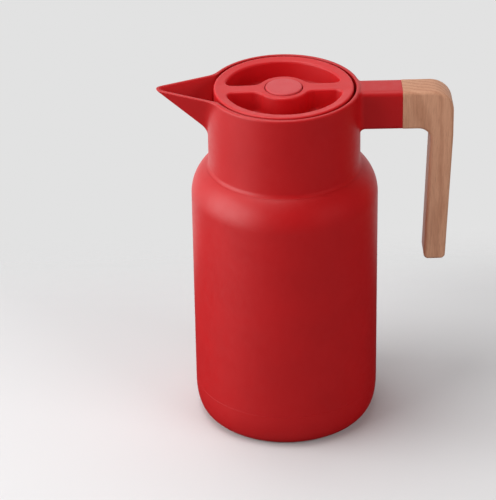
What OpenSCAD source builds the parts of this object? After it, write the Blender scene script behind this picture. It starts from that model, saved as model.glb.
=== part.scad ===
// Insulated serving jug: a glass vacuum flask in a moulded body, a collar with
// a spout and a handle bridge, a beech grip, and a screw stopper whose push
// button opens a pour valve.
// Millimetres. +Z is up, the spout points along -X, the handle along +X.
// The origin is the centre of the underside, on the table.

/* [Body] */
// Outside diameter of the body
body_d = 125; // [120:1:132]
// Wall of the body shell
body_wall = 2.4; // [1.8:0.1:3]
// Height where the shoulder starts to curve in
shoulder_z = 166.7; // [160:0.1:172]
// Angle that the shoulder curves in by before it meets the neck
shoulder_turn = 52.28; // [49:0.04:56]
// Depth of the flat land inside the shell's top edge
land_drop = 5.8; // [4.5:0.1:7]

/* [Base] */
// Height of the seam between base cover and body shell
base_h = 25.5; // [22:0.5:32]
// Diameter of the flat underside
foot_d = 102; // [90:1:104]
// Power of the curve between underside and seam
cup_power = 2.7; // [2:0.1:3]
// Wall of the base cover
base_wall = 2.4; // [1.8:0.1:3]
// Height of the ring that slides up into the body shell
spigot_h = 8; // [7:0.5:12]
// Height of the bead that snaps into the body shell
snap_h = 0.6; // [0.3:0.1:0.8]
// Thickness of the foot pad
pad_t = 1.5; // [1:0.1:3]
// Width of the base cover's rim around the foot pad
pad_border = 3; // [2:0.5:8]
// Height of that rim above the table
foot_lift = 0.5; // [0.2:0.1:0.8]

/* [Flask] */
// Space between the body shell and the glass
flask_space = 5.1; // [4.8:0.1:8]
// Thickness of each glass wall
glass_t = 1.6; // [1.2:0.1:2]
// Evacuated gap between the two glass walls
vacuum_gap = 3.4; // [2.5:0.1:5]
// Evacuated gap in the flask's neck
neck_gap = 3.8; // [2:0.1:5]
// Depth of the glass lip below the seam of the body
lip_drop = 3.78; // [2:0.02:6]
// Length of the straight neck of the flask
flask_neck_h = 14; // [10:1:20]
// Height of the flask's shoulder
flask_shoulder_h = 30; // [24:1:36]
// Height of the flask's domed bottom
dome_h = 27; // [20:1:34]
// Thickness of the cushion below the middle of the flask
cushion_t = 9; // [7:0.5:12]
// Outside diameter of the cushion
cushion_d = 68; // [50:1:80]
// Diameter of the pads between the two glass walls
spacer_d = 10; // [6:1:14]

/* [Collar] */
// Outside diameter of the neck
neck_d = 101.2; // [99:0.2:103]
// Wall of the neck
neck_wall = 2.8; // [2.2:0.1:3.2]
// Radius of the hollow curve from shoulder to neck
foot_fillet = 4; // [2:0.5:6]
// Rounding of the rim
rim_round = 1.4; // [0.5:0.1:1.6]
// Width of the ledge inside the neck that holds the insert down
ledge_w = 2.5; // [1.5:0.1:3.5]
// Thickness of the clip that holds the collar down
clip_t = 2; // [1.4:0.1:3]
// Depth of the clip's groove
clip_bite = 1; // [0.6:0.1:1.4]
// Gap between the clip and the inside of the body shell
clip_gap = 0.7; // [0.5:0.1:2]

/* [Spout] */
// Distance from the jug's axis to the tip of the spout
spout_reach = 84.8; // [76:0.2:90]
// Height of the tip above the rim
spout_rise = 0.9; // [0:0.1:4]
// Radius of the tip, seen from above
tip_r = 5; // [4:0.1:7]
// Half the width of the spout where it enters the neck
spout_half_w = 23.8; // [18:0.1:26]
// Depth below the rim where the keel meets the neck
spout_depth = 30.1; // [22:0.1:30.5]
// Radius of the keel
keel_round = 2.8; // [2.4:0.1:4]
// Wall of the spout
spout_wall = 1.8; // [1.4:0.1:2.2]

/* [Handle] */
// Thickness of handle and bridge
handle_t = 21.4; // [18:0.2:26]
// Distance from the jug's axis to the joint of bridge and grip
joint_x = 77.8; // [74:0.2:82]
// Length of the grip's upper arm, from that joint to the grip's back
arm_l = 33.8; // [31:0.1:40]
// Height of bridge and of the grip's upper arm
bridge_h = 27.6; // [22:0.2:30]
// Depth of the bridge's top below the rim
bridge_drop = 0.8; // [0.2:0.1:3]
// Wall of the hollow bridge
bridge_wall = 2.8; // [2:0.1:3.4]
// Rounding of the bridge's long edges
bridge_round = 3; // [2:0.5:5]
// Width of the grip below its upper arm
grip_w = 15; // [13:0.1:18]
// Width of the grip at its lower end
grip_end_w = 14.5; // [12:0.1:17]
// How far the lower end leans towards the body
grip_lean = 3.8; // [0:0.1:7]
// Height of the grip's lower end above the table
grip_end_z = 117; // [100:0.5:140]
// Radius of the grip's upper outer corner
grip_corner = 15; // [8:0.5:20]
// Radius of the grip's inner corner
grip_inner = 6; // [3:0.5:10]
// Radius of the slight bend in the grip's back
grip_bend = 120; // [60:5:200]
// Rounding of the grip's edges
grip_round = 2.6; // [1.5:0.1:3]
// Thickness of the tongue inside the grip
tongue_t = 8; // [6:0.5:10]
// Height of the tongue
tongue_h = 16; // [12:0.5:18]
// Length of the tongue beyond the joint
tongue_l = 19; // [16:0.5:22]
// Distance between the two grip screws
screw_pitch = 6.8; // [6.4:0.1:7.5]

/* [Neck insert] */
// Wall of the insert
insert_wall = 2.4; // [2:0.1:3]
// Thickness of the gasket between flask and insert
flask_gasket_t = 2.5; // [1.5:0.1:4]
// How far the insert's bore stands inside the flask's mouth
insert_step = 1; // [0.5:0.1:1.6]
// Height of the socket's plain mouth above its thread
socket_lead = 0.8; // [0.4:0.1:2]
// Fall of the insert's funnel floor towards its socket
funnel_fall = 2.4; // [1:0.1:4]

/* [Stopper] */
// Outside diameter of the stopper's tube
tube_d = 60.8; // [60:0.2:62]
// Wall of the stopper's tube
tube_wall = 2.4; // [2:0.1:2.8]
// Height of the tube, from the stopper's gasket up to the deck
tube_h = 33; // [30:0.5:34]
// Lead of the stopper's thread for one turn
thread_pitch = 6; // [5.6:0.1:6.4]
// Depth of the thread
thread_depth = 2; // [1.4:0.1:2.2]
// Width of the thread at its foot
thread_foot = 2.8; // [2.2:0.1:3]
// Width of the thread at its crest
thread_crest = 1.4; // [1:0.1:1.8]
// Turns of thread on the stopper
stopper_turns = 1.75; // [1.5:0.05:1.8]
// Turns of thread in the insert
insert_turns = 1.5; // [1.2:0.05:1.6]
// Thickness of the stopper's gasket
stopper_gasket_t = 2.5; // [2:0.1:3]
// Width of the stopper's gasket
stopper_gasket_w = 3.9; // [2.9:0.1:4.9]
// Number of pour windows in the tube
windows = 6; // [4:1:8]
// Width of a pour window
window_w = 20; // [12:1:20]
// Height of a pour window
window_h = 8.5; // [6:0.5:10]
// Thickness of the stopper's deck
deck_t = 2; // [1.6:0.1:2.4]
// Angle of the closed lid about the jug's axis
lid_angle = 1.5; // [0:0.5:10]

/* [Lid top] */
// Gap between the lid and the inside of the neck
lid_gap = 1.6; // [1.1:0.1:2.8]
// Height of the lid's top above the rim
lid_rise = 0.5; // [0:0.1:3]
// Height of the lid's cap above its deck
lid_h = 17.7; // [17.4:0.1:18.6]
// Wall of the cap
lid_wall = 2; // [1.6:0.1:2.2]
// Rounding of the cap's top edge
lid_round = 1.6; // [0.6:0.1:2]
// Width of the lid's border outside the finger recesses
lid_border = 7.2; // [6.2:0.1:9.2]
// Depth of the finger recesses
recess_depth = 14.5; // [10:0.1:14.6]
// Width of the bar between the finger recesses
bar_w = 10.8; // [10.6:0.2:14]
// Wall of the hub around the button's stop
hub_wall = 1.9; // [1.7:0.1:3.9]
// Rounding of the corners of the finger recesses
recess_round = 4.5; // [2:0.5:5]

/* [Push button and valve] */
// Diameter of the button
button_d = 24.2; // [23:0.2:26]
// Gap around the button
button_gap = 0.5; // [0.3:0.1:0.6]
// Height of the button above the lid
button_rise = 0.8; // [0:0.1:2]
// Depth of the button's stop below the lid's top
button_stop = 7.7; // [6:0.1:8.5]
// Thickness of the button's top
button_top_t = 3; // [2:0.1:4]
// Thickness of the button's skirt
button_wall = 1.8; // [1.4:0.1:2.4]
// Travel of the button
button_travel = 4; // [3:0.5:4]
// Diameter of the valve stem
stem_d = 6; // [5:0.2:6.4]
// Diameter of the pour opening that the valve closes
pour_d = 34; // [28:0.5:36]
// Width of the valve's seat
seat_w = 3; // [2:0.1:4]
// Thickness of the valve plate
plate_t = 2.5; // [2:0.1:3.5]
// Thickness of the valve seal
seal_t = 2.7; // [2:0.1:3.5]
// Diameter of the spring's wire
wire_d = 1.2; // [0.8:0.1:1.4]
// Diameter of the spring, from wire centre to wire centre
spring_d = 17.2; // [17:0.1:18]
// Turns of the spring
spring_turns = 6; // [4:0.5:7]

/* [Fits] */
// Clearance between parts that are fitted together
fit_gap = 0.15; // [0.1:0.05:0.25]
// Radial clearance of the stem in its guide
run_gap = 0.08; // [0.04:0.01:0.1]
// Clearance between a seal and a part that moves past it
soft_gap = 0.3; // [0.25:0.05:0.4]
// Clearance between the crest of a thread and the wall facing it
thread_gap = 0.5; // [0.4:0.05:0.7]
// Clearance around a fastener's shank where it passes through
shank_gap = 0.3; // [0.2:0.05:0.4]
// Clearance around a fastener's shank in its pilot hole
pilot_gap = 0.05; // [0.03:0.01:0.1]

/* [Fasteners] */
// Diameter of the screws' shanks
screw_d = 2.9; // [2.5:0.1:3.2]
// Diameter of the screws' heads
screw_head_d = 5.4; // [5:0.1:5.8]
// Height of the screws' heads
screw_head_h = 2; // [1.6:0.1:2.4]
// Length of the grip screws below their heads
grip_screw_l = 14; // [8:0.5:15]
// Length of the lid screws below their heads
lid_screw_l = 11; // [7:0.5:12]
// Length of the valve screw below its head
valve_screw_l = 9; // [6:0.5:12]

/* [Detail] */
// Points on each rounded stretch of an outline
steps = 12; // [8:1:20]
// Segments of a full circle
facets = 96; // [48:12:144]

/* [Hidden] */
cut = 1; // how far a cutting shape runs past the face it cuts

// Body shell, and the seam where the collar's hollow fillet leaves the shoulder
body_r = body_d / 2;
body_in_r = body_r - body_wall;
neck_r = neck_d / 2;
neck_in_r = neck_r - neck_wall;
seam_dir = [cos(shoulder_turn), sin(shoulder_turn)];
shoulder_r = (body_r - neck_r) / (1 - seam_dir.x) - foot_fillet;
shoulder_c = [body_r - shoulder_r, shoulder_z];
seam = shoulder_c + shoulder_r * seam_dir;
fillet_c = seam + foot_fillet * seam_dir;
shell_mouth_r = neck_r + fit_gap;
land_z = seam.y - land_drop;
land_angle = asin((land_z - shoulder_z) / (shoulder_r - body_wall));
land_r = shoulder_c.x + (shoulder_r - body_wall) * cos(land_angle);

// Base
foot_r = foot_d / 2;
pad_r = foot_r - pad_border;
floor_z = pad_t + base_wall;
spigot_r = body_in_r - fit_gap;
spigot_in_r = spigot_r - base_wall + snap_h;
spigot_z = base_h + spigot_h;
snap_z = base_h + spigot_h / 2;
snap_w = 1;

// Stopper's nose, and the bores that it goes into
tube_r = tube_d / 2;
nose_r = tube_r - stopper_gasket_w - soft_gap;
nose_gap = 1.8; // between the stopper's nose and the insert's bore
insert_bore_r = nose_r + nose_gap;
mouth_r = insert_bore_r + insert_step;

// Flask
flask_r = body_in_r - flask_space;
flask_z = floor_z + cushion_t;
inner_r = flask_r - glass_t - vacuum_gap;
inner_z = flask_z + glass_t + vacuum_gap;
inner_neck_r = mouth_r + glass_t;
flask_neck_r = inner_neck_r + neck_gap + glass_t;
lip_z = seam.y - lip_drop;
lip_under_z = lip_z - glass_t;
flask_neck_z = lip_z - flask_neck_h;
flask_shoulder_z = flask_neck_z - flask_shoulder_h;
tip_ball_r = 4; // sealed tip under the outer flask
cushion_hole_r = 3 * tip_ball_r;
spacer_z = flask_z + dome_h + spacer_d;

// Insert
insert_z = lip_z + flask_gasket_t;
socket_r = tube_r + thread_depth + thread_gap;
socket_out_r = socket_r + insert_wall;
gasket_skirt_t = 3; // skirt of the flask gasket, around the flask's neck
gasket_skirt_h = 6;
flask_gasket_r = flask_neck_r + gasket_skirt_t;
insert_seat_z = insert_z + insert_wall;

// Stopper, from its nose up to the lid's top and the neck's rim
tube_in_r = tube_r - tube_wall;
nose_in_r = nose_r - tube_wall;
bead = 1; // height of the bead that keeps the gasket on the nose
nose_z = lip_z;
stopper_gasket_z = insert_seat_z + soft_gap;
tube_z = stopper_gasket_z + stopper_gasket_t + soft_gap;
deck_under_z = tube_z + tube_h;
deck_z = deck_under_z + deck_t;
lid_z = deck_z + lid_h;
rim_z = lid_z - lid_rise;
pour_r = pour_d / 2;
window_z = deck_under_z - window_h - tube_wall;
lid_r = neck_in_r - lid_gap;
deck_r = lid_r - fit_gap;
recess_r = lid_r - lid_border;
recess_z = lid_z - recess_depth;
lid_screw_gap = 1.6; // between the tube and the heads of the lid's screws
lid_screw_x = tube_r + lid_screw_gap + screw_head_d / 2;
lid_boss_r = bar_w / 2 - lid_wall - fit_gap;
edge_cut = 0.8; // chamfers on seals and the round edge of the button

// Threads: the stopper's upper flank sits just below the insert's lower flank
flank_slope = (thread_foot - thread_crest) / 2 / thread_depth;
flank_sum = thread_foot - flank_slope * (thread_depth - thread_gap);
thread_z = tube_z + thread_foot;
insert_thread_z = thread_z + flank_sum + soft_gap;
ledge_edge_h = 0.6; // straight inner edge of the ledge
ledge_slope = 0.7; // rise of the ledge's top for its width
socket_top_z = insert_thread_z + thread_pitch * insert_turns + thread_foot / 2 + socket_lead;
ledge_z = socket_top_z + funnel_fall;
thread_bite = 0.6; // how deep a thread is rooted in its wall
thread_segments = 36;
thread_run_out = 6; // segments over which a thread fades out

// Button and valve
button_r = button_d / 2;
button_bore_r = button_r + button_gap;
stop_w = 1.4; // width of the stop that keeps the button in the hub
button_skirt_r = button_bore_r + stop_w;
cage_r = button_skirt_r + button_gap;
hub_r = cage_r + hub_wall;
button_z = lid_z + button_rise;
button_under_z = button_z - button_top_t;
button_stop_z = lid_z - button_stop;
button_flange_z = button_stop_z - soft_gap;
button_flange_t = 1.7;
button_foot_z = button_flange_z - button_flange_t;
stem_r = stem_d / 2;
stem_boss_wall = 2.5; // wall of the boss in the button that holds the stem
stem_boss_r = stem_r + stem_boss_wall;
guide_r = stem_r + run_gap;
guide_drop = 3; // length of the stem's guide below the deck
guide_z = deck_under_z - guide_drop;
guide_top_z = button_foot_z - button_travel - soft_gap;
ring_r = 0.9; // section of the O-ring
ring_fit = 0.02;
ring_seat_r = stem_r + soft_gap + 2 * ring_r + ring_fit;
ring_seat_z = guide_top_z - 2 * ring_r - soft_gap;
guide_wall = 1.85; // wall around the O-ring's seat
guide_boss_r = ring_seat_r + guide_wall;
valve_r = pour_r + seat_w;
seal_z = nose_z - soft_gap - seal_t;
plate_z = seal_z - plate_t;

// Spout
spout_tip_z = rim_z + spout_rise;
spout_edge_h = 1.2;
spout_root_in = 6; // how far the spout's wedge reaches inside the neck
spout_root_x = neck_in_r - spout_root_in;
keel_foot = [-neck_r, rim_z - spout_depth];
keel_head = [-spout_reach, spout_tip_z - spout_edge_h];
keel_dir = (keel_foot - keel_head) / norm(keel_foot - keel_head);
keel_c = keel_foot + neck_wall / 2 * keel_dir + keel_round * [-keel_dir.y, keel_dir.x];

// Handle
grip_x = joint_x + arm_l;
bridge_z = rim_z - bridge_drop;
bridge_under_z = bridge_z - bridge_h;
grip_screw_z = bridge_under_z + screw_head_h + shank_gap;
tongue_z = bridge_z - bridge_h / 2;
first_screw_wall = 1.4; // beech between the joint and the bore of the first screw's head
grip_screw_x = joint_x + first_screw_wall + screw_head_d / 2 + shank_gap;
end_round_extra = 0.4; // the grip's lower corners are this much rounder than its edges

// Points on an arc about c, from angle a to angle b
function arc(c, r, a, b) =
    [for (i = [0:steps]) let (t = a + (b - a) * i / steps) c + r * [cos(t), sin(t)]];

// A list back to front
function reversed(list) = [for (i = [len(list) - 1:-1:0]) list[i]];

// Unit normal on the left of the line from a to b
function left_of(a, b) = [a.y - b.y, b.x - a.x] / norm(b - a);

// Points that round one corner b, between its neighbours a and c. A radius
// above zero rounds an outer corner, one below zero an inner corner, and zero
// keeps it sharp. The whole outline shrinks by inset.
function rounded_corner(a, b, c, r, inset) =
    let (m = left_of(a, b), n = left_of(b, c))
    let (centre = b + (r == 0 ? inset : r) * (m + n) / (1 + m * n))
    let (start = atan2(m.y, m.x), turn = atan2(m.x * n.y - m.y * n.x, m * n))
    r == 0 ? [centre] : [for (i = [0:steps])
        let (t = start + turn * i / steps) centre - (r - inset) * [cos(t), sin(t)]];

// Outline through corners [x, y, radius], listed counter-clockwise
function outline(corners, inset = 0) =
    let (n = len(corners), p = [for (k = corners) [k.x, k.y]])
    [for (i = [0:n - 1])
        each rounded_corner(p[(i + n - 1) % n], p[i], p[(i + 1) % n], corners[i].z, inset)];

// Superellipse quarter of the base, from the flat underside up to the seam
function cup_curve(rim_r, floor_r, low_z) =
    [for (i = [0:2 * steps])
        let (t = 45 * i / steps)
        [floor_r + (rim_r - floor_r) * pow(sin(t), 2 / cup_power),
         base_h - (base_h - low_z) * pow(cos(t), 2 / cup_power)]];

// Side of a bottle: domed bottom, straight wall, S-shaped shoulder, neck
function bottle(r, low_z, neck, top_z, drop = 0) = concat(
    [for (i = [0:2 * steps])
        let (t = 45 * i / steps) [r * sin(t), low_z + dome_h * (1 - cos(t))]],
    [for (i = [0:2 * steps])
        let (u = i / steps / 2)
        [neck + (r - neck) * (1 + cos(180 * u)) / 2, flask_shoulder_z - drop + flask_shoulder_h * u]],
    [[neck, top_z]]);

// Height of the outer flask's domed bottom at radius r
function dome_z(r) = flask_z + dome_h * (1 - sqrt(1 - pow(r / flask_r, 2)));

// Solid of revolution about the jug's axis
module turned(points) {
    rotate_extrude($fn = facets) polygon(points);
}

// Screw that points up, with its head's underside at z = 0
module screw(length) {
    slot_l = screw_head_d * 0.55;
    slot_w = 0.7;
    slot_h = screw_head_h * 0.55;
    difference() {
        union() {
            translate([0, 0, -screw_head_h])
                cylinder(d = screw_head_d, h = screw_head_h, $fn = facets);
            translate([0, 0, -slot_w]) cylinder(d = screw_d, h = length + slot_w, $fn = facets);
        }
        for (a = [0, 90])
            rotate(a) translate([-slot_l / 2, -slot_w / 2, -screw_head_h - cut])
                cube([slot_l, slot_w, slot_h + cut]);
    }
}

// Rib of a thread: a tapered section swept up a helix from angle 0
module thread_rib(wall_r, crest_r, low_z, turns) {
    out = sign(crest_r - wall_r);
    count = round(turns * thread_segments);
    rings = [for (i = [0:count])
        let (a = 360 * i / thread_segments, z = low_z + thread_pitch * i / thread_segments)
        let (full = min(1, (i + 2) / thread_run_out, (count - i + 2) / thread_run_out))
        let (crest = wall_r + full * (crest_r - wall_r), root = wall_r - out * thread_bite)
        for (q = [[root, -thread_foot / 2], [crest, -thread_crest / 2],
                  [crest, thread_crest / 2], [root, thread_foot / 2]])
            [q.x * cos(a), q.x * sin(a), z + q.y]];
    sides = [for (i = [0:count - 1], k = [0:3])
        let (a = 4 * i + k, b = 4 * i + (k + 1) % 4)
        out > 0 ? [a, b, b + 4, a + 4] : [a, a + 4, b + 4, b]];
    first = [0, 1, 2, 3];
    last = [for (k = first) 4 * count + k];
    ends = out > 0 ? [reversed(first), last] : [first, reversed(last)];
    polyhedron(rings, concat(sides, ends), convexity = 6);
}

module foot_pad() {
    color("dimgray") cylinder(r = pad_r, h = pad_t, $fn = facets);
}

module base_cover() {
    color("firebrick")
    turned(concat(
        cup_curve(body_r, foot_r, foot_lift),
        [[spigot_r, base_h],
         [spigot_r, snap_z - 2 * snap_w],
         [spigot_r + snap_h, snap_z - snap_w / 2],
         [spigot_r + snap_h, snap_z + snap_w / 2],
         [spigot_r, snap_z + 2 * snap_w],
         [spigot_r, spigot_z - snap_w],
         [spigot_r - snap_w, spigot_z],
         [spigot_in_r, spigot_z]],
        reversed(cup_curve(spigot_in_r, foot_r - base_wall, floor_z)),
        [[0, floor_z], [0, pad_t], [pad_r + fit_gap, pad_t], [pad_r + fit_gap, foot_lift]]));
}

// Soft ring that the domed bottom of the flask sits in
module flask_cushion() {
    rows = [for (i = [0:steps]) cushion_hole_r + (cushion_d / 2 - cushion_hole_r) * i / steps];
    color("darkgray")
    turned(concat(
        [for (r = reversed(rows)) [r, dome_z(r) - fit_gap]],
        [[cushion_hole_r, floor_z], [cushion_d / 2, floor_z]]));
}

module body_shell() {
    color("firebrick")
    turned(concat(
        [[body_r, base_h]],
        arc(shoulder_c, shoulder_r, 0, shoulder_turn),
        [[shell_mouth_r, seam.y], [shell_mouth_r, land_z]],
        reversed(arc(shoulder_c, shoulder_r - body_wall, 0, land_angle)),
        [[body_in_r, snap_z + 2 * snap_w],
         [body_in_r + snap_h, snap_z + snap_w / 2],
         [body_in_r + snap_h, snap_z - snap_w / 2],
         [body_in_r, snap_z - 2 * snap_w],
         [body_in_r, base_h]]));
}

// Outer glass bottle with the sealed evacuation tip under it
module outer_flask() {
    color("silver")
    union() {
        turned(concat(
            bottle(flask_r, flask_z, flask_neck_r, lip_under_z),
            reversed(bottle(flask_r - glass_t, flask_z + glass_t, flask_neck_r - glass_t,
                            lip_under_z, glass_t / 2))));
        translate([0, 0, flask_z]) difference() {
            sphere(r = tip_ball_r, $fn = facets);
            translate([0, 0, glass_t / 2]) cylinder(r = 2 * tip_ball_r, h = 2 * tip_ball_r);
        }
    }
}

// Inner glass bottle, whose lip closes the evacuated gap
module inner_flask() {
    color("gainsboro")
    turned(concat(
        bottle(inner_r, inner_z, inner_neck_r, lip_under_z, glass_t),
        [[flask_neck_r, lip_under_z], [flask_neck_r, lip_z - glass_t / 2],
         [flask_neck_r - glass_t / 2, lip_z], [mouth_r + glass_t / 2, lip_z],
         [mouth_r, lip_z - glass_t / 2]],
        reversed(bottle(inner_r - glass_t, inner_z + glass_t, mouth_r, lip_z - glass_t,
                        3 * glass_t / 2))));
}

// Three pads that keep the two glass walls apart
module flask_spacers() {
    color("tan")
    for (a = [0, 120, 240])
        rotate(a) intersection() {
            turned([[inner_r + fit_gap, 0], [inner_r + vacuum_gap - fit_gap, 0],
                    [inner_r + vacuum_gap - fit_gap, lip_z], [inner_r + fit_gap, lip_z]]);
            translate([0, 0, spacer_z]) rotate([0, 90, 0])
                cylinder(d = spacer_d, h = flask_r, $fn = facets);
        }
}

// Soft ring over the glass lip, with a skirt that centres the flask's neck
module flask_gasket() {
    color("dimgray")
    turned([[mouth_r, lip_z], [flask_neck_r + fit_gap, lip_z],
            [flask_neck_r + fit_gap, lip_z - gasket_skirt_h],
            [flask_gasket_r, lip_z - gasket_skirt_h],
            [flask_gasket_r, insert_z], [mouth_r, insert_z]]);
}

// Funnel with the threaded socket, held down onto the gasket by the collar
module neck_insert() {
    color("firebrick")
    union() {
        turned([[insert_bore_r, insert_z], [flask_gasket_r, insert_z],
                [flask_gasket_r, insert_seat_z], [socket_out_r, insert_seat_z],
                [socket_out_r, socket_top_z - insert_wall],
                [neck_in_r - fit_gap - insert_wall, ledge_z - insert_wall],
                [neck_in_r - fit_gap - insert_wall, ledge_z - 2 * insert_wall],
                [neck_in_r - fit_gap, ledge_z - 2 * insert_wall],
                [neck_in_r - fit_gap, ledge_z], [neck_in_r - ledge_w, ledge_z],
                [socket_r, socket_top_z], [socket_r, insert_seat_z],
                [insert_bore_r, insert_seat_z]]);
        thread_rib(socket_r, socket_r - thread_depth, insert_thread_z, insert_turns);
    }
}

// Outside of the neck, from the spigot in the body shell up to the rim
module neck_solid() {
    low_z = land_z - 2 * clip_t;
    turned(concat(
        [[0, low_z], [neck_r, low_z], [neck_r, land_z - clip_t],
         [neck_r - clip_bite, land_z - clip_t], [neck_r - clip_bite, land_z],
         [neck_r, land_z], [neck_r, seam.y], seam],
        arc(fillet_c, foot_fillet, 180 + shoulder_turn, 180),
        arc([neck_r - rim_round, rim_z - rim_round], rim_round, 0, 90),
        [[0, rim_z]]));
}

// Inside of the neck, with the ledge that holds the insert
module neck_bore() {
    low_z = land_z - 2 * clip_t - cut;
    ledge_r = neck_in_r - ledge_w;
    ledge_edge_z = ledge_z + ledge_edge_h;
    turned([[0, low_z], [neck_in_r, low_z], [neck_in_r, ledge_z], [ledge_r, ledge_z],
            [ledge_r, ledge_edge_z], [neck_in_r, ledge_edge_z + ledge_slope * ledge_w],
            [neck_in_r, rim_z - rim_round / 2],
            [neck_in_r + rim_round / 2, rim_z], [neck_in_r + rim_round / 2, rim_z + cut],
            [0, rim_z + cut]]);
}

// Wedge of the spout: the outside at inset 0, its channel at the wall's thickness
module spout_wedge(inset, over) {
    hull() {
        translate([tip_r - spout_reach, 0, spout_tip_z - spout_edge_h + inset])
            cylinder(r = tip_r - inset, h = spout_edge_h - inset + over, $fn = 32);
        for (side = [-1, 1])
            translate([-spout_root_x, side * (spout_half_w - keel_round), rim_z - spout_edge_h])
                cylinder(r = keel_round - inset, h = spout_edge_h + over, $fn = 32);
        translate([keel_c.x, 0, keel_c.y]) sphere(r = keel_round - inset, $fn = 32);
    }
}

// Bridge from the neck to the joint with the grip, and the tongue beyond it
module bridge_solid() {
    half = handle_t / 2;
    section = outline([[-half, bridge_under_z, bridge_round], [half, bridge_under_z, bridge_round],
                       [half, bridge_z, bridge_round], [-half, bridge_z, bridge_round]]);
    translate([neck_in_r - cut, 0, 0]) rotate([90, 0, 90])
        linear_extrude(joint_x - neck_in_r + cut) polygon(section);
    translate([joint_x - cut, -tongue_t / 2, tongue_z - tongue_h / 2])
        cube([tongue_l + cut, tongue_t, tongue_h]);
}

// Pockets that leave the bridge hollow on both sides of its middle web
module bridge_pockets() {
    for (side = [0, 1])
        mirror([0, side, 0])
            translate([neck_r + bridge_wall, tongue_t / 2, bridge_under_z + bridge_wall])
                cube([joint_x - neck_r, handle_t / 2 - bridge_wall - tongue_t / 2,
                      bridge_h - 2 * bridge_wall]);
}

// Pilot or clearance holes for the two screws of the grip
module grip_screw_holes(d, low_z, height) {
    for (i = [0, 1])
        translate([grip_screw_x + i * screw_pitch, 0, low_z])
            cylinder(d = d, h = height, $fn = facets);
}

module collar() {
    color("firebrick")
    difference() {
        union() {
            neck_solid();
            spout_wedge(0, 0);
            bridge_solid();
        }
        neck_bore();
        spout_wedge(spout_wall, spout_rise + cut);
        bridge_pockets();
        grip_screw_holes(screw_d + 2 * pilot_gap, tongue_z - tongue_h / 2 - cut,
                         grip_screw_z + grip_screw_l - tongue_z + tongue_h / 2 + 1.5 * cut);
    }
}

// Open ring that snaps into the collar's groove under the shell's land
module collar_clip() {
    groove_r = neck_r - clip_bite + fit_gap / 2;
    clip_opening = 12;
    color("lightgray")
    difference() {
        turned([[groove_r, land_z - clip_t], [land_r - clip_gap, land_z - clip_t],
                [land_r - clip_gap, land_z], [groove_r, land_z]]);
        translate([0, -clip_opening / 2, land_z - clip_t - cut])
            cube([body_r, clip_opening, clip_t + 2 * cut]);
    }
}

// Outline of the grip, seen from the side, shrunk by inset everywhere but at
// the joint with the bridge
function grip_outline(inset) =
    let (inner_x = grip_x - grip_w, end_x = grip_x - grip_lean, start_x = joint_x - inset)
    let (end_round = grip_round + end_round_extra, bend_z = bridge_under_z - grip_inner)
    outline([[start_x, bridge_under_z, 0], [inner_x, bridge_under_z, -grip_inner],
             [end_x - grip_end_w, grip_end_z, end_round], [end_x, grip_end_z, end_round],
             [grip_x, bend_z, grip_bend], [grip_x, bridge_z, grip_corner],
             [start_x, bridge_z, 0]], inset);

// Convex faces of one flat side of the grip, whose outline's points start at base:
// its arm, a strip round the bend of its two corners, and its limb
function grip_side(base) =
    let (s = steps + 1)
    let (faces = concat([[0, 1, 5 * s, 5 * s + 1]],
                        [for (k = [0:steps - 1]) [1 + k, 2 + k, 5 * s - k - 1, 5 * s - k]],
                        [[for (i = [s:4 * s + 1]) i]]))
    [for (f = faces) [for (i = f) i + base]];

// Beech grip: its outline in layers that shrink towards both sides, so that all
// its long edges are rounded
module grip_solid() {
    half = handle_t / 2;
    layers = [for (i = [0:4]) let (t = 90 * i / 4)
        [grip_round * (1 - cos(t)) - half, grip_round * (1 - sin(t))]];
    all_layers = concat(layers, [for (q = reversed(layers)) [-q.x, q.y]]);
    n = len(grip_outline(0));
    points = [for (q = all_layers) for (p = grip_outline(q.y)) [p.x, q.x, p.y]];
    sides = [for (k = [0:len(all_layers) - 2], i = [0:n - 1])
        [n * k + i, n * k + (i + 1) % n, n * (k + 1) + (i + 1) % n, n * (k + 1) + i]];
    polyhedron(points, concat(sides, [for (f = grip_side(0)) reversed(f)],
                              grip_side(n * (len(all_layers) - 1))), convexity = 6);
}

module handle_grip() {
    color("burlywood")
    difference() {
        grip_solid();
        translate([joint_x - cut, -tongue_t / 2 - fit_gap, tongue_z - tongue_h / 2 - fit_gap])
            cube([tongue_l + cut + fit_gap, tongue_t + 2 * fit_gap, tongue_h + 2 * fit_gap]);
        grip_screw_holes(screw_d + 2 * shank_gap, bridge_under_z - cut, bridge_h / 2);
        grip_screw_holes(screw_head_d + 2 * shank_gap, bridge_under_z - cut,
                         cut + grip_screw_z - bridge_under_z);
    }
}

module grip_screws() {
    color("silver")
    for (i = [0, 1])
        translate([grip_screw_x + i * screw_pitch, 0, grip_screw_z]) screw(grip_screw_l);
}

// Soft ring between the stopper's tube and the insert's seat
module stopper_gasket() {
    top_z = stopper_gasket_z + stopper_gasket_t;
    color("dimgray")
    turned([[nose_r + soft_gap, stopper_gasket_z], [tube_r - edge_cut, stopper_gasket_z],
            [tube_r, stopper_gasket_z + edge_cut], [tube_r, top_z - edge_cut],
            [tube_r - edge_cut, top_z], [nose_r + soft_gap, top_z]]);
}

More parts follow.
